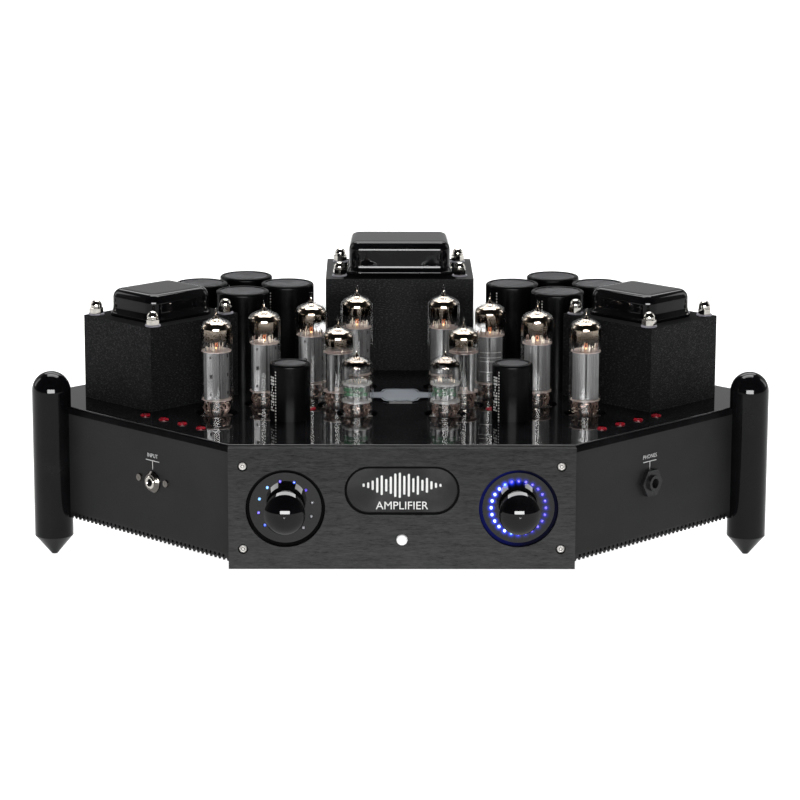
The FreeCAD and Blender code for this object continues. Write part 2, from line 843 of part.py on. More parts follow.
def envelope(name, tip):
    """A glass envelope: straight wall, domed shoulder and the sealed-off tip."""
    inside = d.tube_radius - d.glass
    nipple = 1.9
    rise = (d.tube_radius * d.tube_radius - nipple * nipple).root()
    shoulder = tip - 5.5 - rise
    return revolved(name, [
        (inside, d.glass_lift),
        (d.tube_radius, d.glass_lift),
        (d.tube_radius, shoulder, d.tube_radius, 1),
        (nipple, shoulder + rise),
        (1.1, tip - 0.8),
        (0.6, tip),
        (0, tip),
        (0, shoulder + inside, inside, -1),
        (inside, shoulder),
    ])


def electrode_mount(name, anode, lower, upper):
    """What the glass holds: the glass button with nine pins, micas, rods and the anode."""
    inside = d.tube_radius - d.glass
    stem = cylinder(name + "_stem", inside, 2.0, (0, 0, d.glass_lift))
    pin = cylinder(name + "_pin", d.pin_radius, 9.0)
    step = 360.0 / (SOCKET_PINS + 1)
    pins = []
    rods = []
    for index in range(SOCKET_PINS):
        turn = math.radians(step * (index + 1) - 90.0)
        x = d.pin_circle * math.cos(turn)
        y = d.pin_circle * math.sin(turn)
        pins.append(((x, y, d.glass_lift - 8.5), UPRIGHT))
        if index % 2 == 0:
            rods.append(((x, y, d.glass_lift + 1.5), UPRIGHT))
    rod = cylinder(name + "_rod", d.pin_radius, upper - d.glass_lift)
    mica = cylinder(name + "_mica", inside - 0.7, 0.4)
    micas = [((0, 0, lower), UPRIGHT), ((0, 0, upper), UPRIGHT)]
    plate = block(name + "_anode", anode[0], anode[1], upper - lower, (0, 0, lower))
    return fuse(name, [
        stem,
        copies(name + "_pins", pin, pins),
        copies(name + "_rods", rod, rods),
        copies(name + "_micas", mica, micas),
        plate,
    ])


def make_tubes():
    keep(copies("output_envelopes", envelope("output_glass", d.output_height),
                output_tube_places()), "output_envelopes")
    keep(copies("driver_envelopes", envelope("driver_glass", d.driver_height),
                DRIVER_PLACES), "driver_envelopes")
    keep(copies("input_envelopes", envelope("input_glass", d.input_height),
                INPUT_PLACES), "input_envelopes")
    output = electrode_mount("output_mount", (15.0, 9.0), 12.0, 47.0)
    keep(copies("output_mounts", output, output_tube_places()), "output_mounts")
    driver = copies("driver_mounts", electrode_mount("driver_mount", (5.0, 12.0), 13.0, 38.0),
                    DRIVER_PLACES)
    first = copies("input_mounts", electrode_mount("input_mount", (14.0, 7.0), 10.0, 24.0),
                   INPUT_PLACES)
    keep(group("small_tube_mounts", [driver, first]), "small_tube_mounts")


def make_sockets():
    """Nine-pin sockets that stand on the board and reach up into the deck holes."""
    top = -d.socket_drop
    base = d.board_top - d.deck_top
    barrel = cylinder("socket_barrel", d.socket_radius, top - base, (0, 0, base))
    under = -d.deck_thick
    flange = cylinder("socket_flange", 14.2, 1.5, (0, 0, under - 1.5))
    hole = cylinder("socket_pin_hole", d.pin_radius + 0.1, 20.0)
    step = 360.0 / (SOCKET_PINS + 1)
    holes = []
    for index in range(SOCKET_PINS):
        turn = math.radians(step * (index + 1) - 90.0)
        place = (d.pin_circle * math.cos(turn), d.pin_circle * math.sin(turn), -12.0)
        holes.append((place, UPRIGHT))
    socket = cut("socket", fuse("socket_solid", [barrel, flange]),
                 [copies("socket_pin_holes", hole, holes)])
    keep(copies("tube_sockets", socket, TUBE_PLACES), "tube_sockets")


# ---- transformers ------------------------------------------------------------------------


def transformer_core(name, length, width, stack, leg, bolts):
    """A stack of E and I laminations: two windows beside the middle leg, four bolt holes."""
    steel = block(name + "_steel", length, width, stack)
    window = block(name + "_window", length - leg, leg / 2, stack * 3)
    across = leg * 0.75
    low = -stack
    windows = [((0, across, low), UPRIGHT), ((0, -across, low), UPRIGHT)]
    drill = cylinder(name + "_drill", d.bolt_hole, stack * 3)
    drills = [((x, y, low), UPRIGHT) for x, y in bolts]
    return cut(name, steel, [
        copies(name + "_windows", window, windows),
        copies(name + "_drills", drill, drills),
    ])


def transformer_coil(name, length, stack, leg):
    """The winding: a rectangular ring round the middle leg, proud of the stack both ways."""
    gap = d.coil_gap
    deep = leg / 2 - 2 * gap
    long = length - leg - 2 * gap
    outer = padded(name + "_outer", "XY_Plane", [rectangle(long, 2 * leg - 2 * gap)],
                   stack + 2 * gap + 2 * deep, height=-gap - deep)
    rounded(outer, name + "_corners", 5.0, is_upright)
    inner = block(name + "_inner", long + 10.0, leg + 2 * gap, stack + 2 * gap, (0, 0, -gap))
    return cut(name, outer, [inner])


def end_bell(name, length, leg, tall):
    """A drawn steel cover with a flange, round at its corners and along its top."""
    flange = 1.5
    flange_tall = 2.5
    corner = 8.0
    long = length - leg + 3.5
    wide = 2 * leg + 2.2
    skirt = padded(name + "_skirt", "XY_Plane",
                   [rectangle(long + 2 * flange, wide + 2 * flange)], flange_tall)
    rounded(skirt, name + "_skirt_corners", corner + flange, is_upright)
    hood = padded(name + "_hood", "XY_Plane", [rectangle(long, wide)], tall)
    rounded(hood, name + "_corners", corner, is_upright)
    rounded(hood, name + "_edge", 6.0, lambda edge: is_at(edge, tall))
    cavity = padded(name + "_cavity", "XY_Plane", [rectangle(length - leg + 1.0, 2 * leg)],
                    leg / 2 + 0.4)
    rounded(cavity, name + "_cavity_corners", 6.0, is_upright)
    return cut(name + "_shell", fuse(name + "_solid", [skirt, hood]), [cavity])


def rectangle(length, width):
    return [
        (-length / 2, -width / 2),
        (length / 2, -width / 2),
        (length / 2, width / 2),
        (-length / 2, width / 2),
    ]


def is_upright(edge):
    first, last = edge.Vertexes[0], edge.Vertexes[-1]
    return abs(first.X - last.X) < 1e-6 and abs(first.Y - last.Y) < 1e-6


def is_at(edge, height):
    return all(abs(vertex.Z - height.value) < 1e-6 for vertex in edge.Vertexes)


def make_transformers():
    output_core = transformer_core("output_core", d.output_length, d.output_width,
                                   d.output_stack, d.output_leg, output_bolts())
    keep(copies("output_cores", output_core, output_transformer_places(d.deck_top)),
         "output_cores")
    power_core = transformer_core("power_core_stack", d.power_length, d.power_width,
                                  d.power_stack, d.power_leg, power_bolts())
    keep(copies("power_core", power_core, power_transformer_places(d.deck_top)), "power_core")

    output_top = d.deck_top + d.output_stack
    power_top = d.deck_top + d.power_stack
    output_bell = end_bell("output_cover", d.output_length, d.output_leg, d.output_bell)
    keep(copies("output_bells", output_bell, output_transformer_places(output_top)),
         "output_bells")
    power_bell = end_bell("power_cover", d.power_length, d.power_leg, d.power_bell)
    keep(copies("power_bell", power_bell, power_transformer_places(power_top)), "power_bell")

    output_coil = transformer_coil("output_coil", d.output_length, d.output_stack, d.output_leg)
    power_coil = transformer_coil("power_coil", d.power_length, d.power_stack, d.power_leg)
    keep(group("transformer_coils", [
        copies("output_coils", output_coil, output_transformer_places(d.deck_top)),
        copies("power_coils", power_coil, power_transformer_places(d.deck_top)),
    ]), "transformer_coils")

    bolts = []
    places = bolt_places(d.deck_top)
    kinds = (("output_bolt", d.output_stack, places[:8]), ("power_bolt", d.power_stack, places[8:]))
    for name, stack, chosen in kinds:
        under = -d.deck_thick - 5.0
        washer = cylinder(name + "_washer", 5.2, 1.0)
        hex_nut = padded(name + "_hexagon", "XY_Plane", [hexagon(4.6)], 5.0)
        dome = revolved(name + "_dome", [
            (0, 0),
            (3.9, 0),
            (3.9, 6.1, 3.9, 1),
            (0, 10.0),
        ])
        shank = cylinder(name + "_shank", d.bolt_radius, stack - under, (0, 0, under - stack))
        bolt = fuse(name, [washer, hex_nut, dome, shank])
        raised = [((x, y, z + stack), rotation) for (x, y, z), rotation in chosen]
        bolts.append(copies(name + "s", bolt, raised))
    keep(group("acorn_bolts", bolts), "acorn_bolts")


def hexagon(radius):
    corners = []
    for index in range(6):
        turn = math.radians(60.0 * index)
        corners.append((radius * math.cos(turn), radius * math.sin(turn)))
    return corners


# ---- the rest of the deck ----------------------------------------------------------------


def can(name, radius, tall):
    """A plain can with a rounded rim and a shallow dished top."""
    rim = 1.6
    return revolved(name, [
        (0, 0),
        (radius, 0),
        (radius, tall - rim, rim, 1),
        (radius - rim, tall),
        (radius - 2.4, tall),
        (radius - 2.9, tall - 0.5),
        (0, tall - 0.5),
    ])


def make_deck_parts():
    filter_can = can("filter_can", d.can_radius, d.can_top - d.board_top)
    keep(copies("filter_cans", filter_can, can_places(d.board_top)), "filter_cans")
    small = can("small_can", d.small_can_radius, d.small_can_top - d.board_top)
    keep(copies("small_cans", small, small_can_places(d.board_top)), "small_cans")

    test_jack = revolved("test_jack", [
        (0, -14.0),
        (2.6, -14.0),
        (2.6, 0),
        (3.2, 0),
        (3.2, 0.5),
        (2.9, 0.8),
        (1.1, 0.8),
        (1.1, -8.0),
        (0, -8.0),
    ])
    keep(copies("test_jacks", test_jack, test_jack_places(d.deck_top)), "test_jacks")

    case_tall = 12.0
    case = block("trimmer_case", 6.0, 6.0, case_tall)
    bore = cylinder("trimmer_bore", 1.5 + d.running, 10.0, (0, 0, case_tall - 4.0))
    trimmer = cut("trimmer", case, [bore])
    keep(copies("trimmer_bodies", trimmer, trimmer_places(d.board_top)), "trimmer_bodies")
    screw_low = case_tall - 3.9
    screw_tall = d.deck_top - 1.2 - d.board_top - screw_low
    for number, (base, rotation) in enumerate(trimmer_places(d.board_top), start=1):
        name = "bias_trimmer_%d" % number
        screw = cylinder(name + "_rod", 1.5, screw_tall, (0, 0, screw_low))
        slot = block(name + "_slot", 4.0, 0.5, 2.0, (0, 0, screw_low + screw_tall - 0.8))
        keep(locate(cut(name, screw, [slot]), base, rotation), name)

    quarter = [(33.0, 2.5), (13.0, 14.0), (9.0, 16.0), (7.5, 20.0)]
    left = [(-x, y) for x, y in reversed(quarter)]
    outline = quarter + left + [(-x, -y) for x, y in quarter] + [(-x, -y) for x, y in left]
    badge = padded("badge", "XY_Plane", [outline], 0.8)
    locate(badge, (0, -13.0, d.deck_top))
    keep(badge, "deck_badge")


def make_boards():
    margin = 16.5
    board = padded("board", "XY_Plane", [chassis_outline(margin)], d.board_thick,
                   height=d.board_top - d.board_thick)
    keep(board, "main_board")
    standoff = cylinder("standoff", 3.0, d.deck_top - d.deck_thick - d.board_top)
    keep(copies("board_standoffs", standoff, STANDOFF_PLACES), "board_standoffs")


# ---- sockets and switches in the walls ---------------------------------------------------


def make_front_jacks():
    """The small signal jack on the left and the headphone jack on the right."""
    case = block("input_case", 12.0, 12.0, 17.0, (0, 0, -17.0 - d.wall))
    sleeve = revolved("input_sleeve", [
        (0, -d.wall - 1.0),
        (4.5, -d.wall - 1.0),
        (4.5, 0),
        (6.8, 0),
        (6.8, 0.8),
        (4.8, 1.2),
        (4.4, 2.4),
        (0, 2.4),
    ])
    bore = cylinder("input_bore", 1.8, 30.0, (0, 0, -14.0))
    jack = cut("input_jack_solid", fuse("input_jack_body", [case, sleeve]), [bore])
    locate(jack, jack_place(-1), side_normal(-1))
    keep(jack, "input_jack")

    screw = revolved("jack_screw", [
        (0, -6.0),
        (1.5, -6.0),
        (1.5, 0),
        (2.6, 0),
        (2.2, 1.1),
        (0, 1.3),
    ])
    places = []
    x, y, z = jack_place(-1)
    for along in (-12.8, 12.8):
        shift = along / ROOT_TWO
        places.append(((x + shift, y - shift, z + 1.0), side_normal(-1)))
    keep(copies("input_jack_screws", screw, places), "input_jack_screws")

    case = block("phones_case", 16.0, 16.0, 26.0, (0, 0, -26.0 - d.wall))
    sleeve = cylinder("phones_sleeve", 5.1, d.wall + 6.0, (0, 0, -d.wall - 1.0))
    bore = cylinder("phones_bore", 3.2, 50.0, (0, 0, -24.0))
    jack = cut("phones_jack_solid", fuse("phones_jack_body", [case, sleeve]), [bore])
    locate(jack, jack_place(1), side_normal(1))
    keep(jack, "phones_jack")

    nut = padded("phones_ring_nut", "XY_Plane", [hexagon(9.6)], 3.0, [(0, 0, 5.15)])
    locate(nut, jack_place(1), side_normal(1))
    keep(nut, "phones_nut")


def make_rear_sockets():
    phono = revolved("phono", [
        (0, -9.0),
        (d.phono_radius, -9.0),
        (d.phono_radius, 0),
        (6.5, 0),
        (6.5, 1.8),
        (d.phono_radius, 1.8),
        (d.phono_radius, 10.0),
        (1.6, 10.0),
        (1.6, 0),
        (0, 0),
    ])
    keep(copies("phono_jacks", phono, phono_places()), "phono_jacks")

    stud_end = d.post_reach - 0.5
    post = revolved("post", [
        (0, -12.0),
        (d.post_radius, -12.0),
        (d.post_radius, 0),
        (7.0, 0),
        (7.0, 3.0),
        (4.6, 3.4),
        (4.6, 7.2),
        (d.post_radius, 7.2),
        (d.post_radius, stud_end),
        (2.0, stud_end),
        (2.0, stud_end - 16.0),
        (0, stud_end - 16.0),
    ])
    places = [((x, d.rear_y, z), FACING_REAR) for x, z in POST_PLACES]
    keep(copies("speaker_posts", post, places), "speaker_posts")
    for number, (base, rotation) in enumerate(places, start=1):
        name = "speaker_cap_%d" % number
        cap = revolved(name + "_turned", [
            (d.post_radius + d.running, 7.5),
            (5.6, 7.5),
            (d.cap_radius, 9.0),
            (d.cap_radius, d.post_reach - 2.0),
            (d.cap_radius - 1.2, d.post_reach),
            (d.post_radius + d.running, d.post_reach),
        ])
        keep(locate(cap, base, rotation), name)

    flange = block("inlet_flange", 48.0, 28.0, 3.0)
    body = block("inlet_body", 27.0, 19.4, 21.0, (0, 0, -21.0))
    cavity = block("inlet_cavity", 24.0, 16.0, 30.0, (0, 0, -14.0))
    shell = cut("inlet_shell", fuse("inlet_solid", [flange, body]), [cavity])
    blade = block("inlet_blade", 2.0, 4.0, 12.0)
    blades = [((x, y, -14.5), UPRIGHT) for x, y in ((-7.0, -2.0), (0.0, 3.0), (7.0, -2.0))]
    inlet = fuse("inlet", [shell, copies("inlet_blades", blade, blades)])
    locate(inlet, (0, d.rear_y, INLET_Z), FACING_REAR)
    keep(inlet, "power_inlet")


def make_power_switch():
    """A rocker that tips about a cross axis inside its frame."""
    pivot_depth = 2.0
    half = 4.6
    frame_front = 2.0
    flange = block("rocker_flange", 22.0, 15.0, frame_front)
    body = block("rocker_body", 18.8, 12.8, 16.0, (0, 0, -16.0))
    cavity = block("rocker_cavity", 17.0, 11.0, 30.0, (0, 0, -9.0))
    frame = cut("rocker_frame", fuse("rocker_solid", [flange, body]), [cavity])
    locate(frame, (0, d.rear_y, ROCKER_Z), FACING_REAR)
    keep(frame, "power_switch")

    rocker = padded("rocker", "YZ_Plane", [[
        (0, -half),
        (5.0, -half),
        (3.9, 0),
        (5.0, half),
        (0, half, half, 1),
        (-half, 0, half, 1),
    ]], 16.6, height=-8.3)
    tilt = Rotation(Vector(1, 0, 0), 10.0)
    locate(rocker, (0, d.rear_y - pivot_depth, ROCKER_Z), tilt)
    keep(rocker, "power_rocker")


# ---- build, check and export -------------------------------------------------------------


def check_document():
    doc.recompute()
    for item in doc.Objects:
        if "Invalid" in item.State or "Error" in item.State:
            raise RuntimeError("%s did not build: %s" % (item.Name, item.State))
    for item in pieces:
        if item.Shape.isNull() or not item.Shape.isValid():
            raise RuntimeError(item.Label + " has no valid shape")


def export_pieces():
    os.makedirs("parts", exist_ok=True)
    whole = FreeCAD.BoundBox()
    for item in pieces:
        item.Shape.exportStep("parts/%s.step" % item.Label)
        whole.add(item.Shape.BoundBox)
    print("%d pieces, %.1f x %.1f x %.1f mm, centred at %.2f, %.2f" % (
        len(pieces), whole.XLength, whole.YLength, whole.ZLength,
        whole.Center.x, whole.Center.y))


make_deck()
make_walls()
make_bottom()
make_legs()
make_faceplate()
make_knob_groups()
make_standby()
make_tubes()
make_sockets()
make_transformers()
make_deck_parts()
make_boards()
make_front_jacks()
make_rear_sockets()
make_power_switch()
check_document()
export_pieces()
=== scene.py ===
"""Looks of the tube amplifier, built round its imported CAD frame.

Shapes are drawn in millimetres in the frame's axes: +X the amplifier's right, +Y the rear, +Z up.
make() turns them into metres, which is what every Blender object here uses.
"""
import bmesh
import bpy
import math
import random
from mathutils import Matrix, Vector


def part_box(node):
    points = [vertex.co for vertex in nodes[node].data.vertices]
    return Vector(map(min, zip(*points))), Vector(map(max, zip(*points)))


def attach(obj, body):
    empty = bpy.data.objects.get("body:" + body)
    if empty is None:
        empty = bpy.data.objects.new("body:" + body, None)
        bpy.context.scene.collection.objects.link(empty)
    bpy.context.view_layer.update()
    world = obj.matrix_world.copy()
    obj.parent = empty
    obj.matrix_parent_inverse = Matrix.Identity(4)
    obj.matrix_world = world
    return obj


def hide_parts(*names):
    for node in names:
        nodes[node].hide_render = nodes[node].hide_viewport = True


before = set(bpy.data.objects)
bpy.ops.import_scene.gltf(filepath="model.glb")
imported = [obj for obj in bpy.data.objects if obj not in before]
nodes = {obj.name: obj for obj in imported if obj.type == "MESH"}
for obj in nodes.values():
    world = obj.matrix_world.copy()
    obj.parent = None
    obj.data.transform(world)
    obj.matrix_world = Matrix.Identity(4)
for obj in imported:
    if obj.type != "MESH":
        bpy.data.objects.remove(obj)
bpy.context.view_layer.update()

MM = 0.001
FRONT = Vector((0, -1, 0))
REAR = Vector((0, 1, 0))
UP = Vector((0, 0, 1))
DECK = 100.0  # height of the deck's top
KNOB_X = 72.4  # the knobs' axes
KNOB_Z = 60.9
LAMP_CIRCLE = 17.0  # from a knob's axis to the lamps round it
# Each jack of the front side panels: the panel's normal and the jack's middle.
LEFT_JACK = Vector((-1, -1, 0)).normalized(), Vector((-158.4, -105.9, 64.0))
RIGHT_JACK = Vector((1, -1, 0)).normalized(), Vector((158.4, -105.9, 64.0))


# ---- places read from the frame ----


class Box:
    """Lowest and highest corner of a solid, in millimetres."""

    def __init__(self, low, high):
        self.low = Vector(low)
        self.high = Vector(high)
        self.centre = (self.low + self.high) / 2
        self.size = self.high - self.low

    def holds(self, other):
        inside = all(a <= b for a, b in zip(self.low, other.low))
        return self is not other and inside and all(a >= b for a, b in zip(self.high, other.high))

    def stand(self, height=None, turn=0.0):
        """A place on the solid's upright axis, at its foot or at a height."""
        return at(self.centre.x, self.centre.y, self.low.z if height is None else height, turn)


def whole(node):
    low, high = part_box(node)
    return Box(low / MM, high / MM)


def solids(node):
    """The box of each separate solid of a CAD node, from the left, the front, then the floor."""
    shape = bmesh.new()
    shape.from_mesh(nodes[node].data)
    bmesh.ops.remove_doubles(shape, verts=shape.verts, dist=1e-6)
    waiting = set(shape.verts)
    boxes = []
    while waiting:
        edge = [waiting.pop()]
        found = []
        while edge:
            vert = edge.pop()
            found.append(vert.co / MM)
            for link in vert.link_edges:
                other = link.other_vert(vert)
                if other in waiting:
                    waiting.remove(other)
                    edge.append(other)
        boxes.append(Box(map(min, *found), map(max, *found)))
    shape.free()
    outer = [box for box in boxes if not any(other.holds(box) for other in boxes)]
    return sorted(outer, key=lambda box: tuple(round(value, 1) for value in box.centre))


def placed(origin, across, upward, outward):
    """The matrix that puts the origin at a point, and X, Y and Z along three directions."""
    return Matrix.Translation(origin) @ Matrix((across, upward, outward)).transposed().to_4x4()


def facing(origin, normal):
    """The matrix whose Z axis is the normal and whose Y axis is as upright as it can be."""
    across = UP.cross(normal).normalized()
    return placed(origin, across, normal.cross(across), normal)


def add_object(name, data):
    made = bpy.data.objects.new(name, data)
    bpy.context.scene.collection.objects.link(made)
    return made


def at(x, y, z, turn=0.0):
    return Matrix.Translation((x, y, z)) @ Matrix.Rotation(math.radians(turn), 4, "Z")


# ---- shapes ----


class Shape:
    """Points and faces, with a material number for each face."""

    def __init__(self, points=(), faces=(), kind=0):
        self.points = [Vector(point) for point in points]
        self.faces = [tuple(face) for face in faces]
        self.kinds = [kind] * len(self.faces)

    def put(self, other, matrix=None):
        """Adds another shape, placed by the matrix."""
        first = len(self.points)
        self.points += [matrix @ point if matrix else point for point in other.points]
        self.faces += [tuple(first + index for index in face) for face in other.faces]
        self.kinds += other.kinds
        return self

    def flipped(self):
        self.faces = [tuple(reversed(face)) for face in self.faces]
        return self


def polar(radius, angle):
    return radius * math.cos(angle), radius * math.sin(angle)


def arc(centre_x, centre_y, radius, start, end, steps=8):
    """Points along an arc; the angles are in degrees."""
    points = []
    for step in range(steps + 1):
        x, y = polar(radius, math.radians(start + (end - start) * step / steps))
        points.append((centre_x + x, centre_y + y))
    return points


def circle(radius, steps=32, x=0.0, y=0.0):
    return arc(x, y, radius, 0, 360, steps)[:-1]


def rounded_box(width, depth, radius, steps=6, x=0.0, y=0.0):
    """A rectangle with round corners, anticlockwise."""
    points = []
    for number, (side_x, side_y) in enumerate(((1, -1), (1, 1), (-1, 1), (-1, -1))):
        corner_x = x + side_x * (width / 2 - radius)
        corner_y = y + side_y * (depth / 2 - radius)
        points += arc(corner_x, corner_y, radius, 90 * number - 90, 90 * number, steps)
    return points


def smooth(points, steps=3):
    """More points along a soft curve through the given ones."""
    padded = [points[0]] + list(points) + [points[-1]]
    curve = []
    for a, b, c, e in zip(padded, padded[1:], padded[2:], padded[3:]):
        for step in range(steps):
            t = step / steps
            curve.append(tuple(
                0.5 * (2 * q + (r - p) * t + (2 * p - 5 * q + 4 * r - s) * t * t
                       + (3 * q - p - 3 * r + s) * t ** 3)
                for p, q, r, s in zip(a, b, c, e)))
    curve.append(tuple(points[-1]))
    return curve


def inset(profile, distance):
    """A (radius, height) profile moved in by a distance, from its bottom to its top."""
    moved = []
    for number, (radius, height) in enumerate(profile):
        before = profile[max(number - 1, 0)]
        after = profile[min(number + 1, len(profile) - 1)]
        along = Vector((after[0] - before[0], after[1] - before[1])).normalized()
        moved.append((radius - along.y * distance, height + along.x * distance))
    kept = [point for point in moved if point[0] > 0]
    return [(0, kept[0][1])] + kept + [(0, kept[-1][1])]


def lathe(profile, steps=48, kind=0):
    """A turned shape: the profile is (radius, height) points, from the bottom up outside."""
    shape = Shape()
    rings = []
    for radius, height in profile:
        loop = circle(radius, steps) if radius >= 1e-6 else [(0, 0)]
        rings.append(list(range(len(shape.points), len(shape.points) + len(loop))))
        shape.points += [Vector((x, y, height)) for x, y in loop]
    for low, high in zip(rings, rings[1:]):
        for step in range(steps):
            following = (step + 1) % steps
            corners = [low[step % len(low)], low[following % len(low)],
                       high[following % len(high)], high[step % len(high)]]
            face = tuple(dict.fromkeys(corners))
            if len(face) > 2:
                shape.faces.append(face)
                shape.kinds.append(kind)
    return shape


def rod(radius, low, high, steps, kind=0):
    return lathe([(0, low), (radius, low), (radius, high), (0, high)], steps, kind)


def loft(rings, kind=0):
    """A closed skin over rings of equally many points, with its two ends capped."""
    points = [point for ring in rings for point in ring]
    count = len(rings[0])
    last = len(points) - count
    faces = []
    for low in range(0, last, count):
        for step in range(count):
            following = (step + 1) % count
            faces.append((low + step, low + following,
                          low + count + following, low + count + step))
    faces += [tuple(reversed(range(count))), tuple(range(last, len(points)))]
    return Shape(points, faces, kind)


def prism(loop, low, high, kind=0):
    """An upright block on a loop of (x, y) points."""
    return loft([[Vector((x, y, height)) for x, y in loop] for height in (low, high)], kind)


def slab(low, high, kind):
    """A block between two corners."""
    (x0, y0, z0), (x1, y1, z1) = low, high
    return prism([(x0, y0), (x1, y0), (x1, y1), (x0, y1)], z0, z1, kind)


def plate(loops, low, high, kind=0):
    """A flat plate between two heights: the first loop is its outline, the others are holes."""
    curve = bpy.data.curves.new("plate", "CURVE")
    curve.dimensions = "2D"
    curve.fill_mode = "BOTH"
    curve.extrude = (high - low) / 2
    for loop in loops:
        spline = curve.splines.new("POLY")
        spline.points.add(len(loop) - 1)
        for point, (x, y) in zip(spline.points, loop):
            point.co = (x, y, 0, 1)
        spline.use_cyclic_u = True
    return from_curve(curve, (high + low) / 2, kind)


def from_curve(curve, height, kind=0):
    holder = bpy.data.objects.new("outline", curve)
    mesh = bpy.data.meshes.new_from_object(holder)
    points = [vert.co + Vector((0, 0, height)) for vert in mesh.vertices]
    shape = Shape(points, [face.vertices for face in mesh.polygons], kind)
    bpy.data.objects.remove(holder)
    bpy.data.meshes.remove(mesh)
    bpy.data.curves.remove(curve)
    return shape


def lettering(text, size, thick):
    """Plain letters standing on the XY plane, centred."""
    curve = bpy.data.curves.new("letters", "FONT")
    curve.body = text
    curve.size = size
    curve.extrude = thick / 2
    curve.align_x = curve.align_y = "CENTER"
    curve.resolution_u = 3
    return from_curve(curve, thick / 2)


def wire(points, radius, sides=6, kind=0):
    """A round wire along a path."""
    path = [Vector(point) for point in points]
    rings = []
    across = None
    for number, point in enumerate(path):
        along = (path[min(number + 1, len(path) - 1)] - path[max(number - 1, 0)]).normalized()
        if across is None:
            across = along.orthogonal().normalized()
        across = (across - along * across.dot(along)).normalized()
        other = along.cross(across)
        rings.append([point + across * x + other * y for x, y in circle(radius, sides)])
    return loft(rings, kind)


def patch(radius, angle, half_width, low, high, thick, kind=0):
    """A thin mark that lies on an upright cylinder; the angle is in degrees from +X."""
    spread = math.degrees(half_width / radius)
    outer = arc(0, 0, radius + thick, angle - spread, angle + spread, 3)
    inner = arc(0, 0, radius - thick, angle + spread, angle - spread, 3)
    return prism(outer + inner, low, high, kind)


def make(name, shape, looks, body="chassis", replaces=(), smooth_angle=32.0, turn=True):
    """A piece of the amplifier from a shape."""
    mesh = bpy.data.meshes.new(name)
    mesh.from_pydata([point * MM for point in shape.points], [], shape.faces)
    for look in looks:
        mesh.materials.append(look.material)
    mesh.polygons.foreach_set("material_index", shape.kinds)
    tidy = bmesh.new()
    tidy.from_mesh(mesh)
    bmesh.ops.remove_doubles(tidy, verts=tidy.verts, dist=2e-7)
    bmesh.ops.dissolve_degenerate(tidy, edges=tidy.edges, dist=1e-8)
    if turn:
        bmesh.ops.recalc_face_normals(tidy, faces=tidy.faces)
    tidy.to_mesh(mesh)
    tidy.free()
    mesh.polygons.foreach_set("use_smooth", [True] * len(mesh.polygons))
    mesh.set_sharp_from_angle(angle=math.radians(smooth_angle))
    piece = add_object(name, mesh)
    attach(piece, body)
    if replaces:
        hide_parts(*replaces)


# ---- materials ----


class Nodes:
    """A node tree, with short ways to add to it."""

    def __init__(self, tree):
        self.tree = tree

    def node(self, kind, values=(), **settings):
        made = self.tree.nodes.new("ShaderNode" + kind)
        for name, value in settings.items():
            setattr(made, name, value)
        for key, value in values:
            self.feed(made.inputs[key], value)
        return made

    def feed(self, socket, value):
        if isinstance(value, bpy.types.NodeSocket):
            self.tree.links.new(value, socket)
        else:
            socket.default_value = value

    def sums(self, operation, a, b=0.0, c=0.0):
        return self.node("Math", ((0, a), (1, b), (2, c)), operation=operation).outputs[0]

    def add(self, a, b):
        return self.sums("ADD", a, b)

    def minus(self, a, b):
        return self.sums("SUBTRACT", a, b)

    def times(self, a, b):
        return self.sums("MULTIPLY", a, b)

    def between(self, value, start, end, low=0.0, high=1.0, soft=False):
        """Maps start..end to low..high."""
        values = (("Value", value), ("From Min", start), ("From Max", end),
                  ("To Min", low), ("To Max", high))
        kind = "SMOOTHSTEP" if soft else "LINEAR"
        return self.node("MapRange", values, interpolation_type=kind).outputs[0]

    def split(self, vector):
        return self.node("SeparateXYZ", ((0, vector),)).outputs


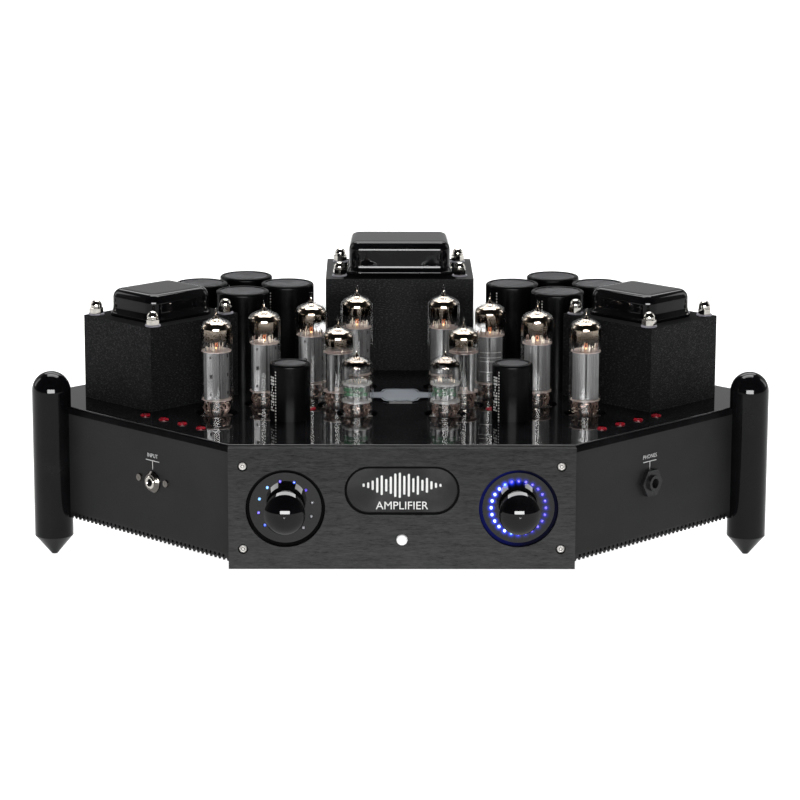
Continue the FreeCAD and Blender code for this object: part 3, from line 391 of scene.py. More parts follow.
class Look(Nodes):
    """A node material with a Principled shader, on coordinates in metres."""

    def __init__(self, name, colour, rough, metal=0.0, ior=1.5):
        self.material = bpy.data.materials.new(name)
        self.material.use_nodes = True
        super().__init__(self.material.node_tree)
        self.shader = self.tree.nodes["Principled BSDF"]
        self.place = self.node("TexCoord").outputs["Object"]
        self.give("Base Color", (*colour, 1.0))
        self.give("Roughness", rough)
        self.give("Metallic", metal)
        self.give("IOR", ior)

    def give(self, name, value):
        self.feed(self.shader.inputs[name], value)

    def moved(self, scale=(1, 1, 1)):
        return self.node("Mapping", (("Vector", self.place), ("Scale", scale))).outputs[0]

    def noise(self, scale, detail=3.0, stretch=(1, 1, 1), rough=0.55):
        values = (("Vector", self.moved(stretch)), ("Scale", scale), ("Detail", detail),
                  ("Roughness", rough))
        return self.node("TexNoise", values).outputs["Fac"]

    def mixed(self, factor, first, second):
        made = self.node("Mix", data_type="RGBA")
        self.feed(made.inputs["Factor"], factor)
        for key, colour in ((6, first), (7, second)):
            socket = isinstance(colour, bpy.types.NodeSocket)
            self.feed(made.inputs[key], colour if socket else (*colour, 1.0))
        return made.outputs[2]

    def paint(self, value, start, end, first, second):
        """Colour that goes from the first to the second as the value goes from start to end."""
        self.give("Base Color", self.mixed(self.between(value, start, end), first, second))

    def polish(self, value, start, end, low, high):
        """Roughness that goes from low to high as the value goes from start to end."""
        self.give("Roughness", self.between(value, start, end, low, high))

    def bump(self, height, depth, strength=1.0):
        """Relief: the depth is in millimetres."""
        values = (("Height", height), ("Distance", depth * MM), ("Strength", strength))
        made = self.node("Bump", values)
        before = self.shader.inputs["Normal"].links
        if before:
            self.feed(made.inputs["Normal"], before[0].from_socket)
        self.give("Normal", made.outputs[0])

    def facing_up(self):
        return self.split(self.node("NewGeometry").outputs["Normal"])["Z"]

    def edge(self, blend):
        """0 where the surface faces out, 1 at its edge."""
        return self.node("LayerWeight", (("Blend", blend),)).outputs["Facing"]


def tinted(colour, factor, plus=0.0):
    return tuple(value * factor + plus for value in colour)


def gloss_paint(name, colour, rough, ior):
    """Polished enamel, with a faint orange peel and a trace of dust."""
    look = Look(name, colour, rough, ior=ior)
    haze = look.noise(45.0, 4.0)
    dust = look.between(look.noise(2600.0, 2.0), 0.72, 0.82)
    look.paint(haze, 0.45, 0.75, colour, tinted(colour, 1.5, 0.002))
    smudge = look.between(haze, 0.3, 0.8, rough * 0.6, rough * 1.7)
    look.give("Roughness", look.add(smudge, look.times(dust, 0.25)))
    look.bump(look.noise(330.0, 2.0), 0.0015)
    return look


def satin_paint(name, colour, rough=0.4, grain=0.02, ior=1.45):
    """Powder coat: a fine even grain."""
    look = Look(name, colour, rough, ior=ior)
    grains = look.noise(2400.0, 3.0)
    look.paint(look.noise(14.0, 4.0), 0.3, 0.75, colour, tinted(colour, 1.5, 0.004))
    look.polish(grains, 0.25, 0.8, rough * 0.85, rough * 1.2)
    look.bump(grains, grain)
    return look


def crinkle_paint(name, top, shaded_half_width=0.0):
    """Wrinkle finish over a stack of steel laminations, with a smoother and paler top sheet.

    The top sheet is painted dark within the shaded half width, round the end bell's foot: painted
    shade, also standing in for the bell's black flange.
    """
    colour = (0.007, 0.007, 0.0075)
    look = Look(name, colour, 0.5)
    flat = look.between(look.facing_up(), 0.7, 0.9)
    look.give("Specular IOR Level", look.between(flat, 0.0, 1.0, 0.05, 0.0))
    wrinkle = look.noise(620.0, 5.0, (1, 1, 2.2), 0.75)
    pits = look.node("TexVoronoi", (("Vector", look.moved()),
                                    ("Scale", 1500.0))).outputs["Distance"]
    layers = look.node("TexWave", (("Vector", look.moved()), ("Scale", 310.0), ("Distortion", 1.5),
                                   ("Detail", 2.0), ("Detail Scale", 4.0)),
                       bands_direction="Z").outputs["Fac"]
    # The wrinkle crests are painted paler: a painted sheen standing in for the light they catch.
    sides_with_painted_sheen = look.mixed(look.between(wrinkle, 0.52, 0.64), colour, tinted(colour, 4.0, 0.014))
    # Painted shade: near the middle the top sheet stays dark, round the end bell.
    outside = look.between(look.sums("ABSOLUTE", look.split(look.place)["X"]), shaded_half_width * MM,
                           shaded_half_width * MM + 0.002)
    sheet = look.mixed(outside, colour, tinted(colour, 1.0, top))
    look.give("Base Color", look.mixed(flat, sides_with_painted_sheen, sheet))
    look.polish(wrinkle, 0.3, 0.7, 0.62, 0.3)
    relief = look.between(flat, 0.0, 1.0, 1.0, 0.06)
    for height in (layers, pits):
        look.bump(height, 0.12, look.times(relief, 0.6))
    look.bump(wrinkle, 0.35, relief)
    return look


def brushed_metal(name, colour, rough, stretch, metal, depth, contrast):
    """Metal brushed along one axis; the stretch is large across the brushing."""
    look = Look(name, colour, rough, metal=metal)
    fine = look.noise(1.0, 4.0, stretch, rough=0.75)
    coarse = look.noise(0.3, 3.0, stretch)
    streaks = look.between(look.add(fine, look.times(coarse, 0.5)), 0.55, 0.95)
    look.give("Base Color", look.mixed(streaks, tinted(colour, 1 - contrast),
                                       tinted(colour, 1 + contrast)))
    look.polish(streaks, 0.0, 1.0, rough * 0.75, rough * 1.3)
    look.bump(fine, depth)
    return look


def polished_metal(name, colour, rough):
    """Plated metal with faint tarnish and handling marks."""
    look = Look(name, colour, rough, metal=1.0)
    stain = look.noise(400.0, 4.0)
    look.paint(stain, 0.3, 0.7, tinted(colour, 0.72), colour)
    look.polish(stain, 0.3, 0.75, rough * 0.6, rough * 1.9)
    look.bump(look.noise(1600.0, 2.0), 0.001)
    return look


def moulded(name, colour, rough, grain=1400.0, depth=0.012, ior=1.46):
    """Moulded plastic."""
    look = Look(name, colour, rough, ior=ior)
    skin = look.noise(grain, 2.0)
    look.paint(look.noise(grain * 0.08, 3.0), 0.3, 0.75, colour, tinted(colour, 0.7))
    look.polish(skin, 0.3, 0.7, rough * 0.85, rough * 1.2)
    look.bump(skin, depth)
    return look


def thin_glass(name):
    """Blown glass: light passes straight on, and the surface shines more towards its edge."""
    look = Look(name, (1, 1, 1), 0.0)
    look.tree.nodes.remove(look.shader)
    edge = look.edge(0.5)
    share = look.sums("MULTIPLY_ADD", look.sums("POWER", edge, 5.0), 0.9, 0.012)
    colour = look.mixed(look.sums("POWER", edge, 2.5), (1.0, 1.0, 1.0), (0.93, 0.93, 0.92))
    clear = look.node("BsdfTransparent", (("Color", colour),)).outputs[0]
    streak = look.between(look.noise(60.0, 3.0), 0.35, 0.8, 0.0, 0.035)
    glint = look.node("BsdfGlossy", (("Roughness", streak),)).outputs[0]
    mix = look.node("MixShader", ((0, share), (1, clear), (2, glint)))
    look.feed(look.tree.nodes["Material Output"].inputs["Surface"], mix.outputs[0])
    return look


def getter_film(name, clear, solid):
    """Silvered film inside the top of a tube: it fades out from one height to another, in mm."""
    colour = (0.30, 0.25, 0.20)
    look = Look(name, colour, 0.05, metal=1.0)
    wander = look.between(look.noise(160.0, 4.0), 0.3, 0.7, -1.6 * MM, 1.6 * MM)
    level = look.add(look.split(look.place)["Z"], wander)
    cover = look.between(level, clear * MM, solid * MM, 0.0, 1.0, soft=True)
    top = look.between(level, (solid - 1.0) * MM, (solid + 7.0) * MM, soft=True)
    look.give("Base Color", look.mixed(top, (0.03, 0.02, 0.012), colour))
    look.give("Alpha", look.sums("POWER", cover, 1.3))
    look.polish(look.noise(300.0, 3.0), 0.3, 0.8, 0.03, 0.12)
    return look


def glowing(name, colour, strength):
    """A light: its middle is brighter than its edge."""
    look = Look(name, colour, 0.3)
    middle = look.sums("POWER", look.edge(0.4), 1.0)
    look.give("Emission Color", look.mixed(middle, colour, tinted(colour, 0.5)))
    look.give("Emission Strength", look.between(look.noise(900.0, 2.0), 0.2, 0.8,
                                                strength * 0.9, strength * 1.1))
    return look


# ---- tubes ----

GLASS_RADIUS = 10.8
GLASS_WALL = 0.9
GLASS_STEPS = 40
SHOULDER = 15.5  # from the end of the tip down to the top of the straight wall
ANODE_HALF = 8.5
ANODE_DEPTH = 4.6
ANODE_CURVE = 15.0
MICA_RADIUS = 9.85
PIN_CIRCLE = 5.95
# Radius and rise of the glass above its shoulder: a dome, then the drawn-out tip.
DOME = ((10.8, 0.0), (10.75, 1.5), (10.2, 3.6), (8.9, 5.3), (6.6, 6.6), (4.2, 7.5), (2.6, 8.4),
        (1.6, 9.6), (1.15, 11.0), (1.0, 13.0), (0.95, 14.0), (0.6, 14.6), (0.02, 14.8))
METAL, MICA, WIRE, HOT, EMBER, DARK, WHITE, POST = range(8)


def dome_profile(height):
    top = [(radius, height - DOME[-1][1] + rise) for radius, rise in DOME]
    return [(GLASS_RADIUS, height - SHOULDER)] + smooth(top)


def make_glass(name, node, look):
    shape = Shape()
    for box in solids(node):
        foot = smooth([(6.0, 0.0), (9.2, 0.3), (10.5, 1.4), (GLASS_RADIUS, 3.2)])
        profile = foot + [(GLASS_RADIUS, 3.9)] + dome_profile(box.size.z)
        shape.put(lathe([(0, 0)] + profile, GLASS_STEPS), box.stand())
        shape.put(lathe(inset(profile, GLASS_WALL), GLASS_STEPS).flipped(), box.stand())
    make(name, shape, [look], replaces=(node,), turn=False)


def make_film(name, node, clear, solid):
    """The getter film inside the dome: clear and solid are heights above the deck."""
    shape = Shape()
    for box in solids(node):
        foot = (GLASS_RADIUS, DECK + clear - 2.0 - box.low.z)
        profile = inset([foot] + dome_profile(box.size.z), GLASS_WALL + 0.06)
        shape.put(lathe(profile, GLASS_STEPS), box.stand())
    make(name, shape, [getter_film(name, DECK + clear, DECK + solid)])


def mica(radius, height, kind):
    """A mica disc with teeth that grip the glass."""
    teeth = 12
    loop = []
    for step in range(4 * teeth):
        reach = radius if step % 4 < 2 else radius - 0.6
        loop.append(polar(reach, 2 * math.pi * step / (4 * teeth)))
    return prism(loop, height - 0.25, height + 0.25, kind)


def upright(x, y, low, high, radius, kind=METAL, sides=6):
    return wire([(x, y, low), (x, y, high)], radius, sides, kind)


def anode_depth(x):
    """How far the bulging face of an output anode stands from the tube's axis."""
    return ANODE_DEPTH - ANODE_CURVE + math.sqrt(ANODE_CURVE ** 2 - x * x)


def anode_outline():
    """A face that bulges, with a seam down its middle, then the opposite face."""
    places = [ANODE_HALF * step / 8 for step in range(1, 9)]
    right = [(x, -anode_depth(x)) for x in places]
    left = [(-x, y) for x, y in reversed(right)]
    seam = [(-0.7, -ANODE_DEPTH), (-0.3, 0.7 - ANODE_DEPTH), (0.3, 0.7 - ANODE_DEPTH),
            (0.7, -ANODE_DEPTH)]
    face = left + seam + right
    return face + [(-x, -y) for x, y in face]


def pressed_marks(side, low, high):
    """Ribs and punched openings on one face of an anode."""
    shape = Shape()
    for x in (-4.6, 4.6):
        shape.put(upright(x, side * anode_depth(x), low + 1.0, high - 1.0, 0.22))
    marks = ((-6.3, 25.0, 2.0, 2.4), (-6.6, 37.5, 1.2, 1.6), (-6.6, 13.0, 1.2, 1.6),
             (6.4, 37.5, 1.0, 2.2), (6.4, 25.0, 1.0, 2.2), (6.4, 13.0, 1.0, 2.2),
             (2.6, 31.0, 0.5, 0.5), (2.6, 20.0, 0.5, 0.5))
    for x, z, wide, tall in marks:
        face = side * anode_depth(abs(x) - wide / 2)
        shape.put(slab((x - wide / 2, face - 0.07, z - tall / 2),
                       (x + wide / 2, face + 0.07, z + tall / 2), DARK))
    return shape


def heater(height):
    """The glowing end of the heater, with its hot leads above the mica."""
    spot = arc(0, height + 1.5, 0.62, -90, 90, 8)
    shape = lathe([(max(x, 0.0), z) for x, z in spot], 14, HOT)
    for side in (-1, 1):
        loop = [(0.5 * side, 0, height + 2.2), (0.9 * side, 0.2, height + 3.4),
                (0.3 * side, 0.1, height + 4.4), (1.1 * side, -0.2, height + 5.0)]
        shape.put(wire(smooth(loop), 0.17, 6, EMBER))
    return shape


def posts(dice, count, low, reach, tall):
    """Ends of rods and wires that stand on the top mica."""
    shape = Shape()
    for number in range(count):
        angle = dice.uniform(0, 2 * math.pi)
        x, y = polar(dice.uniform(2.0, reach), angle)
        top = low + dice.uniform(0.4, 1.0) * tall
        lean = dice.uniform(-0.5, 0.5)
        shape.put(wire([(x, y, low), (x, y, (low + top) / 2), (x + lean, y, top)], 0.24, 6,
                       POST if number % 3 else WIRE))
    return shape


def rooted(shape, dice, top):
    """Adds the pins, and the lead wires that rise from them and bend outward to the mica."""
    count, bottom, reach = 44, -1.3, 9.3
    tangle = Shape()
    for number in range(count):
        angle = 2 * math.pi * number / count + dice.uniform(-0.25, 0.25)
        path = []
        for share in (0.0, 0.25, 0.5, 0.75, 1.0):
            radius = 5.9 + (reach - 5.9) * math.sin(math.pi * share) * dice.uniform(0.2, 1.0)
            x, y = polar(radius, angle + dice.uniform(-0.45, 0.45) * share)
            path.append((x, y, bottom + (top - bottom) * share))
        tangle.put(wire(smooth(path), dice.uniform(0.09, 0.16), 5, WIRE))
    tangle.put(rod(4.6, bottom, top - 0.5, 20, DARK))
    for number in range(count):
        angle = dice.uniform(0, 2 * math.pi)
        x, y = polar(dice.uniform(5.5, reach - 0.8), angle)
        height = dice.uniform(bottom + 1.5, top - 1.5)
        strap = slab((-0.9, -0.1, -0.35), (0.9, 0.1, 0.35), POST if number % 4 == 0 else WIRE)
        tilt = Matrix.Rotation(dice.uniform(-0.7, 0.7), 4, "X")
        place = at(x, y, height, math.degrees(angle) + 90 + dice.uniform(-35, 35))
        tangle.put(strap, place @ tilt)
    shape.put(tangle)
    for number in range(9):
        x, y = polar(PIN_CIRCLE, math.radians(36.0 * (number + 1) - 90.0))
        pin = [(0, -10.2), (0.3, -10.2), (0.5, -9.8), (0.5, -0.9), (0, -0.9)]
        shape.put(lathe(pin, 10, METAL), at(x, y, 0))
    return shape


def output_works(dice, ribbed):
    """Anode, micas, leads and heater of an output tube; heights are above the deck."""
    low, high = 9.2, 41.1
    shape = prism(anode_outline(), low + 0.3, high - 0.3, METAL)
    for face in (-1, 1):
        shape.put(upright(0, face * (ANODE_DEPTH - 0.5), low + 0.5, high - 0.5, 0.3, DARK))
        if ribbed:
            shape.put(pressed_marks(face, low, high))
    for x in (-8.0, 8.0):
        shape.put(upright(x, 0, low - 2, high + 2.5, 0.45, sides=8))
    for height in (low, high):
        shape.put(mica(MICA_RADIUS, height, MICA))
    shape.put(posts(dice, 20, high + 0.2, 7.8, 5.2)).put(heater(high))
    return rooted(shape, dice, low)


def driver_works(dice):
    """The two anodes of a driver tube, each with two bands."""
    low, high = 9.6, 35.6
    shape = Shape()
    for x in (-4.9, 4.9):
        shape.put(prism(rounded_box(3.8, 8.0, 1.1, 3, x), low + 0.3, high - 1.2, METAL))
        for height in (low + 4, high - 5):
            shape.put(prism(rounded_box(4.2, 8.4, 1.3, 3, x), height, height + 0.8, METAL))
    shape.put(upright(0, -1.5, low, high + 1.5, 0.55, sides=8))
    for radius, height in ((MICA_RADIUS, low), (MICA_RADIUS, high), (8.0, high + 1.4)):
        shape.put(mica(radius, height, MICA))
    shape.put(posts(dice, 12, high + 0.2, 7.6, 3.2))
    return rooted(shape, dice, low)


def input_works(dice):
    """The short anodes of an input tube, and the getter's ring high over them."""
    low, high, ring_height = 8.3, 20.6, 30.6
    shape = Shape()
    for side in (-1, 1):
        loop = rounded_box(5.0, 5.0, 1.6, 3, side * 4.4, 2.0)
        shape.put(prism(loop, low + 1.0, high - 1.0, METAL))
        for x in (1.6, 7.4):
            for y in (-2.6, 4.5):
                shape.put(upright(side * x, y, low - 2.0, high + 2.2, 0.35))
    for radius, height in ((MICA_RADIUS, low), (9.7, low + 0.9), (MICA_RADIUS, high),
                           (9.6, high - 0.9)):
        shape.put(mica(radius, height, WHITE))
    shape.put(posts(dice, 12, high + 0.2, 6.6, 3.4))
    section = circle(0.45, 8, 4.9, ring_height)
    shape.put(lathe(section + section[:1], 32, METAL))
    shape.put(wire([(0, 4.8, high), (0, 4.9, ring_height)], 0.4, 6, METAL))
    return rooted(shape, dice, low)


def make_tubes():
    glass = thin_glass("tube_glass")
    for kind in ("output", "driver", "input"):
        make_glass(kind + "_glass", kind + "_envelopes", glass)
    for kind, clear, solid in (("output", 45.4, 51.5), ("driver", 36.2, 42.2),
                               ("input", 29.0, 33.5)):
        make_film(kind + "_films", kind + "_envelopes", clear, solid)
    even = (900, 900, 900)
    grey = brushed_metal("anode_grey", (0.16, 0.16, 0.16), 0.26, (2500, 2500, 40), 0.0, 0.002, 0.10)
    grey.give("IOR", 1.6)
    looks = [grey, moulded("mica_sheet", (0.85, 0.68, 0.62), 0.35, 900.0),
             brushed_metal("lead_wire", (0.24, 0.155, 0.125), 0.35, even, 0.3, 0.004, 0.5),
             glowing("heater_hot", (1.0, 0.58, 0.25), 2.6),
             glowing("heater_ember", (0.9, 0.24, 0.07), 0.9),
             moulded("anode_shadow", (0.012, 0.010, 0.010), 0.6),
             moulded("mica_white", (0.92, 0.90, 0.88), 0.4, 900.0),
             brushed_metal("bright_post", (0.75, 0.66, 0.55), 0.3, even, 0.5, 0.004, 0.3)]
    dice = random.Random(7)
    shape = Shape()
    for box, turn in zip(solids("output_envelopes"), (34, 24, 30, 18, 4, -3, 6, 0)):
        shape.put(output_works(dice, box.centre.x < 0), box.stand(DECK, turn))
    make("output_works", shape, looks, replaces=("output_mounts",))
    shape = Shape()
    for works, node, turns in ((driver_works, "driver_envelopes", (12, 8)),
                               (input_works, "input_envelopes", (-8, 5))):
        for box, turn in zip(solids(node), turns):
            shape.put(works(dice), box.stand(DECK, turn))
    make("small_tube_works", shape, looks, replaces=("small_tube_mounts",))
    make_tube_bands()


def make_tube_bands():
    """Plain printed bands on the glass, with no lettering."""
    green = Look("band_green", (0.04, 0.20, 0.08), 0.5)
    green.give("Alpha", green.between(green.noise(420.0), 0.42, 0.56, 0.05, 0.55, soft=True))
    white = Look("band_white", (0.7, 0.7, 0.68), 0.5)
    white.give("Alpha", white.between(white.noise(500.0), 0.3, 0.5, 0.45, 0.9, soft=True))
    # Of the output tubes, only the one about 59 mm to the right of the middle shows its print.
    printed = [box for box in solids("output_envelopes") if abs(box.centre.x - 59.1) <= 3]
    wide_bands = ((13.4, 15.6, 9.0), (16.2, 18.6, 8.0))
    narrow_bands = [(low, low + 0.4, 7.6) for low in (30.6, 27.2, 24.6, 17.6)]
    for name, look, boxes, angle, bands in (
            ("input_bands", green, solids("input_envelopes"), -98, wide_bands),
            ("output_bands", white, printed, -88, narrow_bands)):
        shape = Shape()
        for box in boxes:
            for low, high, wide in bands:
                shape.put(patch(GLASS_RADIUS, angle, wide, low, high, 0.03), box.stand(DECK))
        make(name, shape, [look])


# ---- transformers ----


def bell(long, wide, tall, cavity):
    """A drawn cover: hollow, with a flange, a flare above it, and round corners and top edge."""
    flange = 1.5
    flange_corner = 9.5
    flare = 9.5
    round_top = 6.0
    inner = flange + 1.25
    # Heights, and how far the skin is inside the flange's edge.
    levels = [(cavity, 12.0), (cavity, inner), (0.0, inner), (0.0, 0.0), (1.8, 0.0),
              (2.1, 0.03), (2.38, 0.15), (2.5, 0.4)]
    for angle in (25, 22, 19, 16, 13, 10, 7, 4, 0):
        lean = math.radians(angle)
        levels.append((6.9 - flare * math.sin(lean), flange - flare * (1 - math.cos(lean))))
    levels += [(7.4, flange), (tall - round_top - 0.5, flange)]
    for step in range(11):
        angle = math.radians(9 * step)
        levels.append((tall - round_top + round_top * math.sin(angle),
                       flange + round_top * (1 - math.cos(angle))))
    levels += [(tall, flange + 9.0), (tall, flange + 16.0)]
    rings = []
    for height, margin in levels:
        outline = rounded_box(long - 2 * margin, wide - 2 * margin,
                              max(flange_corner - margin, 0.4), 8)
        rings.append([Vector((x, y, height)) for x, y in outline])
    return loft(rings)


def acorn_bolt(stack_tall):
    """Fibre washer, hexagon nut with a closed dome, and the long shank below."""
    shape = lathe([(0, 0), (4.9, 0), (5.2, 0.2), (5.2, 0.8), (5.0, 1.0), (0, 1.0)], 32, 1)
    nut = ((1.0, 4.3), (1.3, 4.6), (4.5, 4.6), (5.0, 4.15))
    shape.put(loft([[Vector((x, y, height)) for x, y in circle(radius, 6)]
                    for height, radius in nut]))
    dome = [(0, 4.9), (3.95, 4.9), (3.95, 5.4), (3.8, 5.7), (3.8, 6.1)]
    shape.put(lathe(dome + arc(0, 6.2, 3.8, 0, 88, 10) + [(0, 10.0)], 32))
    return shape.put(rod(2.0, -stack_tall - 9.7, 0.2, 16))


def make_transformers(gloss, nickel):
    for name, node, turns, sizes in (
            ("output_hoods", "output_bells", (-45, 45), (47.6, 56.0, 18.0, 13.1)),
            ("power_hood", "power_bell", (90,), (54.7, 72.8, 23.0, 17.3))):
        shape = Shape()
        for box, turn in zip(solids(node), turns):
            shape.put(bell(*sizes), box.stand(turn=turn))
        make(name, shape, [gloss], replaces=(node,))
    nut_tall = 10.0
    shape = Shape()
    for number, box in enumerate(solids("acorn_bolts")):
        top = box.high.z - nut_tall
        shape.put(acorn_bolt(top - DECK), box.stand(top, 10 + 23 * number))
    fibre = satin_paint("washer_fibre", (0.34, 0.33, 0.38), 0.5, 0.01, ior=1.2)
    make("acorn_nuts", shape, [nickel, fibre], replaces=("acorn_bolts",),
         smooth_angle=25)


# ---- capacitors ----

SLEEVE, END, INK = range(3)
INK_THICK = 0.04
STRIPE_PITCH = 1.95


def sleeved_can(radius, tall):
    """A can in a shrunk sleeve that turns in over its rim, and the bare end inside it."""
    rim = 1.8
    sleeve = [(0, 0), (radius - 0.4, 0), (radius, 0.4), (radius, tall - rim - 0.8)]
    sleeve += arc(radius - rim, tall - rim, rim, 0, 90, 7)
    sleeve += [(radius - 2.5, tall), (radius - 2.9, tall - 0.12), (radius - 3.1, tall - 0.5),
               (radius - 3.1, tall - 1.0), (0, tall - 1.0)]
    end = [(0, tall - 1.0), (radius - 3.15, tall - 1.0), (radius - 3.15, tall - 0.62),
           (radius - 3.6, tall - 0.5), (radius * 0.45, tall - 0.52),
           (radius * 0.43, tall - 0.62), (radius * 0.40, tall - 0.62),
           (radius * 0.38, tall - 0.5), (0, tall - 0.5)]
    return lathe(sleeve, 72, SLEEVE).put(lathe(end, 72, END))


def make_cans():
    sleeve = moulded("can_sleeve", (0.004, 0.004, 0.0045), 0.22, 300.0, 0.001, ior=1.12)
    end = satin_paint("can_end", (0.16, 0.16, 0.165), 0.5, 0.004)
    end.give("Specular IOR Level", 0.0)
    ink = Look("printed_white", (0.72, 0.72, 0.70), 0.5)
    ink.bump(ink.noise(2000.0, 2.0), 0.01)
    for name, node, radius, angle in (("filter_can_bodies", "filter_cans", 18.0, -128),
                                      ("small_can_bodies", "small_cans", 13.0, -134)):
        shape = Shape()
        for box in solids(node):
            tall = box.size.z
            shape.put(sleeved_can(radius, tall), box.stand())
            height = 22.0
            while height < tall - 5:
                stripe = patch(radius, angle, 0.46, height, height + 0.95, INK_THICK, INK)
                shape.put(stripe, box.stand())
                height += STRIPE_PITCH
            if node == "small_cans":
                shape.put(dashes(radius, angle - 22, 28.0, 51.0), box.stand())
        make(name, shape, [sleeve, end, ink], replaces=(node,))


def dashes(radius, angle, low, high):
    """A plain printed column of short bars."""
    shape = Shape()
    dice = random.Random(3)
    gap = 0.7
    height = low
    while height < high:
        tall = dice.uniform(0.7, 1.6)
        for shift in (0.0, 6.5, 13.0):
            if dice.random() < 0.8:
                shape.put(patch(radius, angle + shift, 0.62, height, height + tall,
                                INK_THICK, INK))
        height += tall + gap
    return shape


# ---- front ----

LAMP_PITCH = 15.0  # degrees between the right knob's lamps
SPILL_LIT = (180.0, 60.0, 110.0)
DISC_FRONT = -160.35
# Where the ring of painted shade round each disc stands on the faceplate.
SHADE_RING_FOOT = -156.9
WINDOW_Z = 72.45  # the middle of the window
MOTIF_Z = 75.6  # the middle of the sound wave
WORD_Z = 62.4
BAR_PITCH = 2.8


def ring_glow(look, reach, strength, least):
    """Adds the light that the right circle of lamps spills on the disc round it.

    SPILL_LIT is the angle where the spill is strongest, and how far from it, in degrees, the
    spill starts to fade and is down to its least.
    """
    split = look.split(look.place)
    x = look.minus(look.times(split["X"], 1000.0), KNOB_X)
    z = look.minus(look.times(split["Z"], 1000.0), KNOB_Z)
    radius = look.sums("SQRT", look.add(look.times(x, x), look.times(z, z)))
    angle = look.times(look.sums("ARCTAN2", z, x), 180 / math.pi)
    cell = look.sums("DIVIDE", angle, LAMP_PITCH)
    off = look.minus(cell, look.sums("ROUND", cell))
    along = look.times(off, LAMP_CIRCLE * math.radians(LAMP_PITCH))
    away = look.minus(radius, LAMP_CIRCLE)
    squared = look.add(look.times(along, along), look.times(away, away))
    spill = look.sums("EXPONENT", look.sums("DIVIDE", squared, -reach * reach))
    brightest, fade, faded = SPILL_LIT
    apart = look.sums("ABSOLUTE", look.minus(angle, brightest))
    apart = look.sums("MINIMUM", apart, look.minus(360.0, apart))
    share = look.between(apart, fade, faded, 1.0, least, soft=True)
    look.give("Emission Color", (0.02, 0.05, 1.0, 1.0))
    look.give("Emission Strength", look.times(look.times(spill, share), strength))


def make_rings():
    """The lamps: ten round part of the left knob, and a full circle round the right one."""
    # The unlit lamps still get a faint grey emission: a painted glow on them.
    looks = {name: glowing("lamp_" + name, colour, strength) for name, colour, strength in (
        ("off", (0.30, 0.30, 0.33), 0.12), ("dim", (0.12, 0.06, 0.8), 0.35),
        ("violet", (0.20, 0.14, 1.0), 0.55), ("blue", (0.06, 0.15, 1.0), 0.55),
        ("light", (0.22, 0.50, 1.0), 1.2), ("white", (0.55, 0.75, 1.0), 3.0))}
    order = list(looks)
    left = ("blue", "violet", "light", "light", "violet", "blue", "dim", "off", "off", "off")
    lamps = [(-KNOB_X, 221.0 - 30.0 * number, kind) for number, kind in enumerate(left)]
    for number in range(24):
        degrees = LAMP_PITCH * number
        apart = abs((degrees - 185 + 180) % 360 - 180)
        kind = "white" if apart < 62 else "light" if apart < 80 else "violet"
        lamps.append((KNOB_X, degrees, kind))
    lens = [(0, -2.0), (0.85, -2.0), (0.85, 0.0), (0.72, 0.18), (0.42, 0.3), (0, 0.35)]
    shape = Shape()
    for centre, degrees, kind in lamps:
        x, z = polar(LAMP_CIRCLE, math.radians(degrees))
        place = facing((centre + x, DISC_FRONT, KNOB_Z + z), FRONT)
        shape.put(lathe(lens, 16, order.index(kind)), place)
    make("ring_lamps", shape, looks.values(), replaces=("ring_leds",))


def stadium(half, radius):
    """A round-ended slot, anticlockwise."""
    return arc(half - radius, 0, radius, -90, 90, 16) + arc(radius - half, 0, radius, 90, 270, 16)


def make_front_details(recess_shade, screw):
    """Black rings of painted shade in the recesses round the discs and the window, and the
    faceplate's screws with painted shade in their hex sockets and wells.
    """
    shape = Shape()
    # Each ring fills the gap between a disc and its hole in the faceplate: painted shade.
    section = [(22.45, 0), (24.65, 0), (24.65, 2.4), (24.3, 2.7), (22.9, 2.7), (22.45, 2.4),
               (22.45, 0)]
    for x in (-KNOB_X, KNOB_X):
        shape.put(lathe(section, 72), facing((x, SHADE_RING_FOOT, KNOB_Z), FRONT))
    # The window's rim: a black ring of painted shade round its recess.
    rim = plate([stadium(35.6, 15.3), stadium(34.3, 14.0)], 0.0, 0.9)
    shape.put(rim, facing((0, whole("window_plate").low.y, WINDOW_Z), FRONT))
    make("front_recess_shades", shape, [recess_shade])
    heads = Shape()
    for box in solids("faceplate_screws"):
        place = facing((box.centre.x, box.high.y, box.centre.z), FRONT)
        tall = box.size.y
        head = [(0, 0), (1.5, 0), (1.5, tall - 1.4), (2.4, tall - 1.3), (2.4, tall - 0.7),
                (2.2, tall - 0.3), (1.6, tall - 0.05), (0, tall)]
        # The hex socket and the well round each head are painted shade.
        well = [(2.45, tall - 0.2), (3.15, tall - 0.2), (3.15, tall + 0.3), (2.45, tall + 0.3),
                (2.45, tall - 0.2)]
        for part in (lathe(head, 32), prism(circle(1.25, 6), tall - 0.5, tall + 0.02, 1),
                     rod(0.75, tall - 0.4, tall + 0.04, 20), lathe(well, 32, 1)):
            heads.put(part, place)
    make("panel_screws", heads, [screw, recess_shade], replaces=("faceplate_screws",))


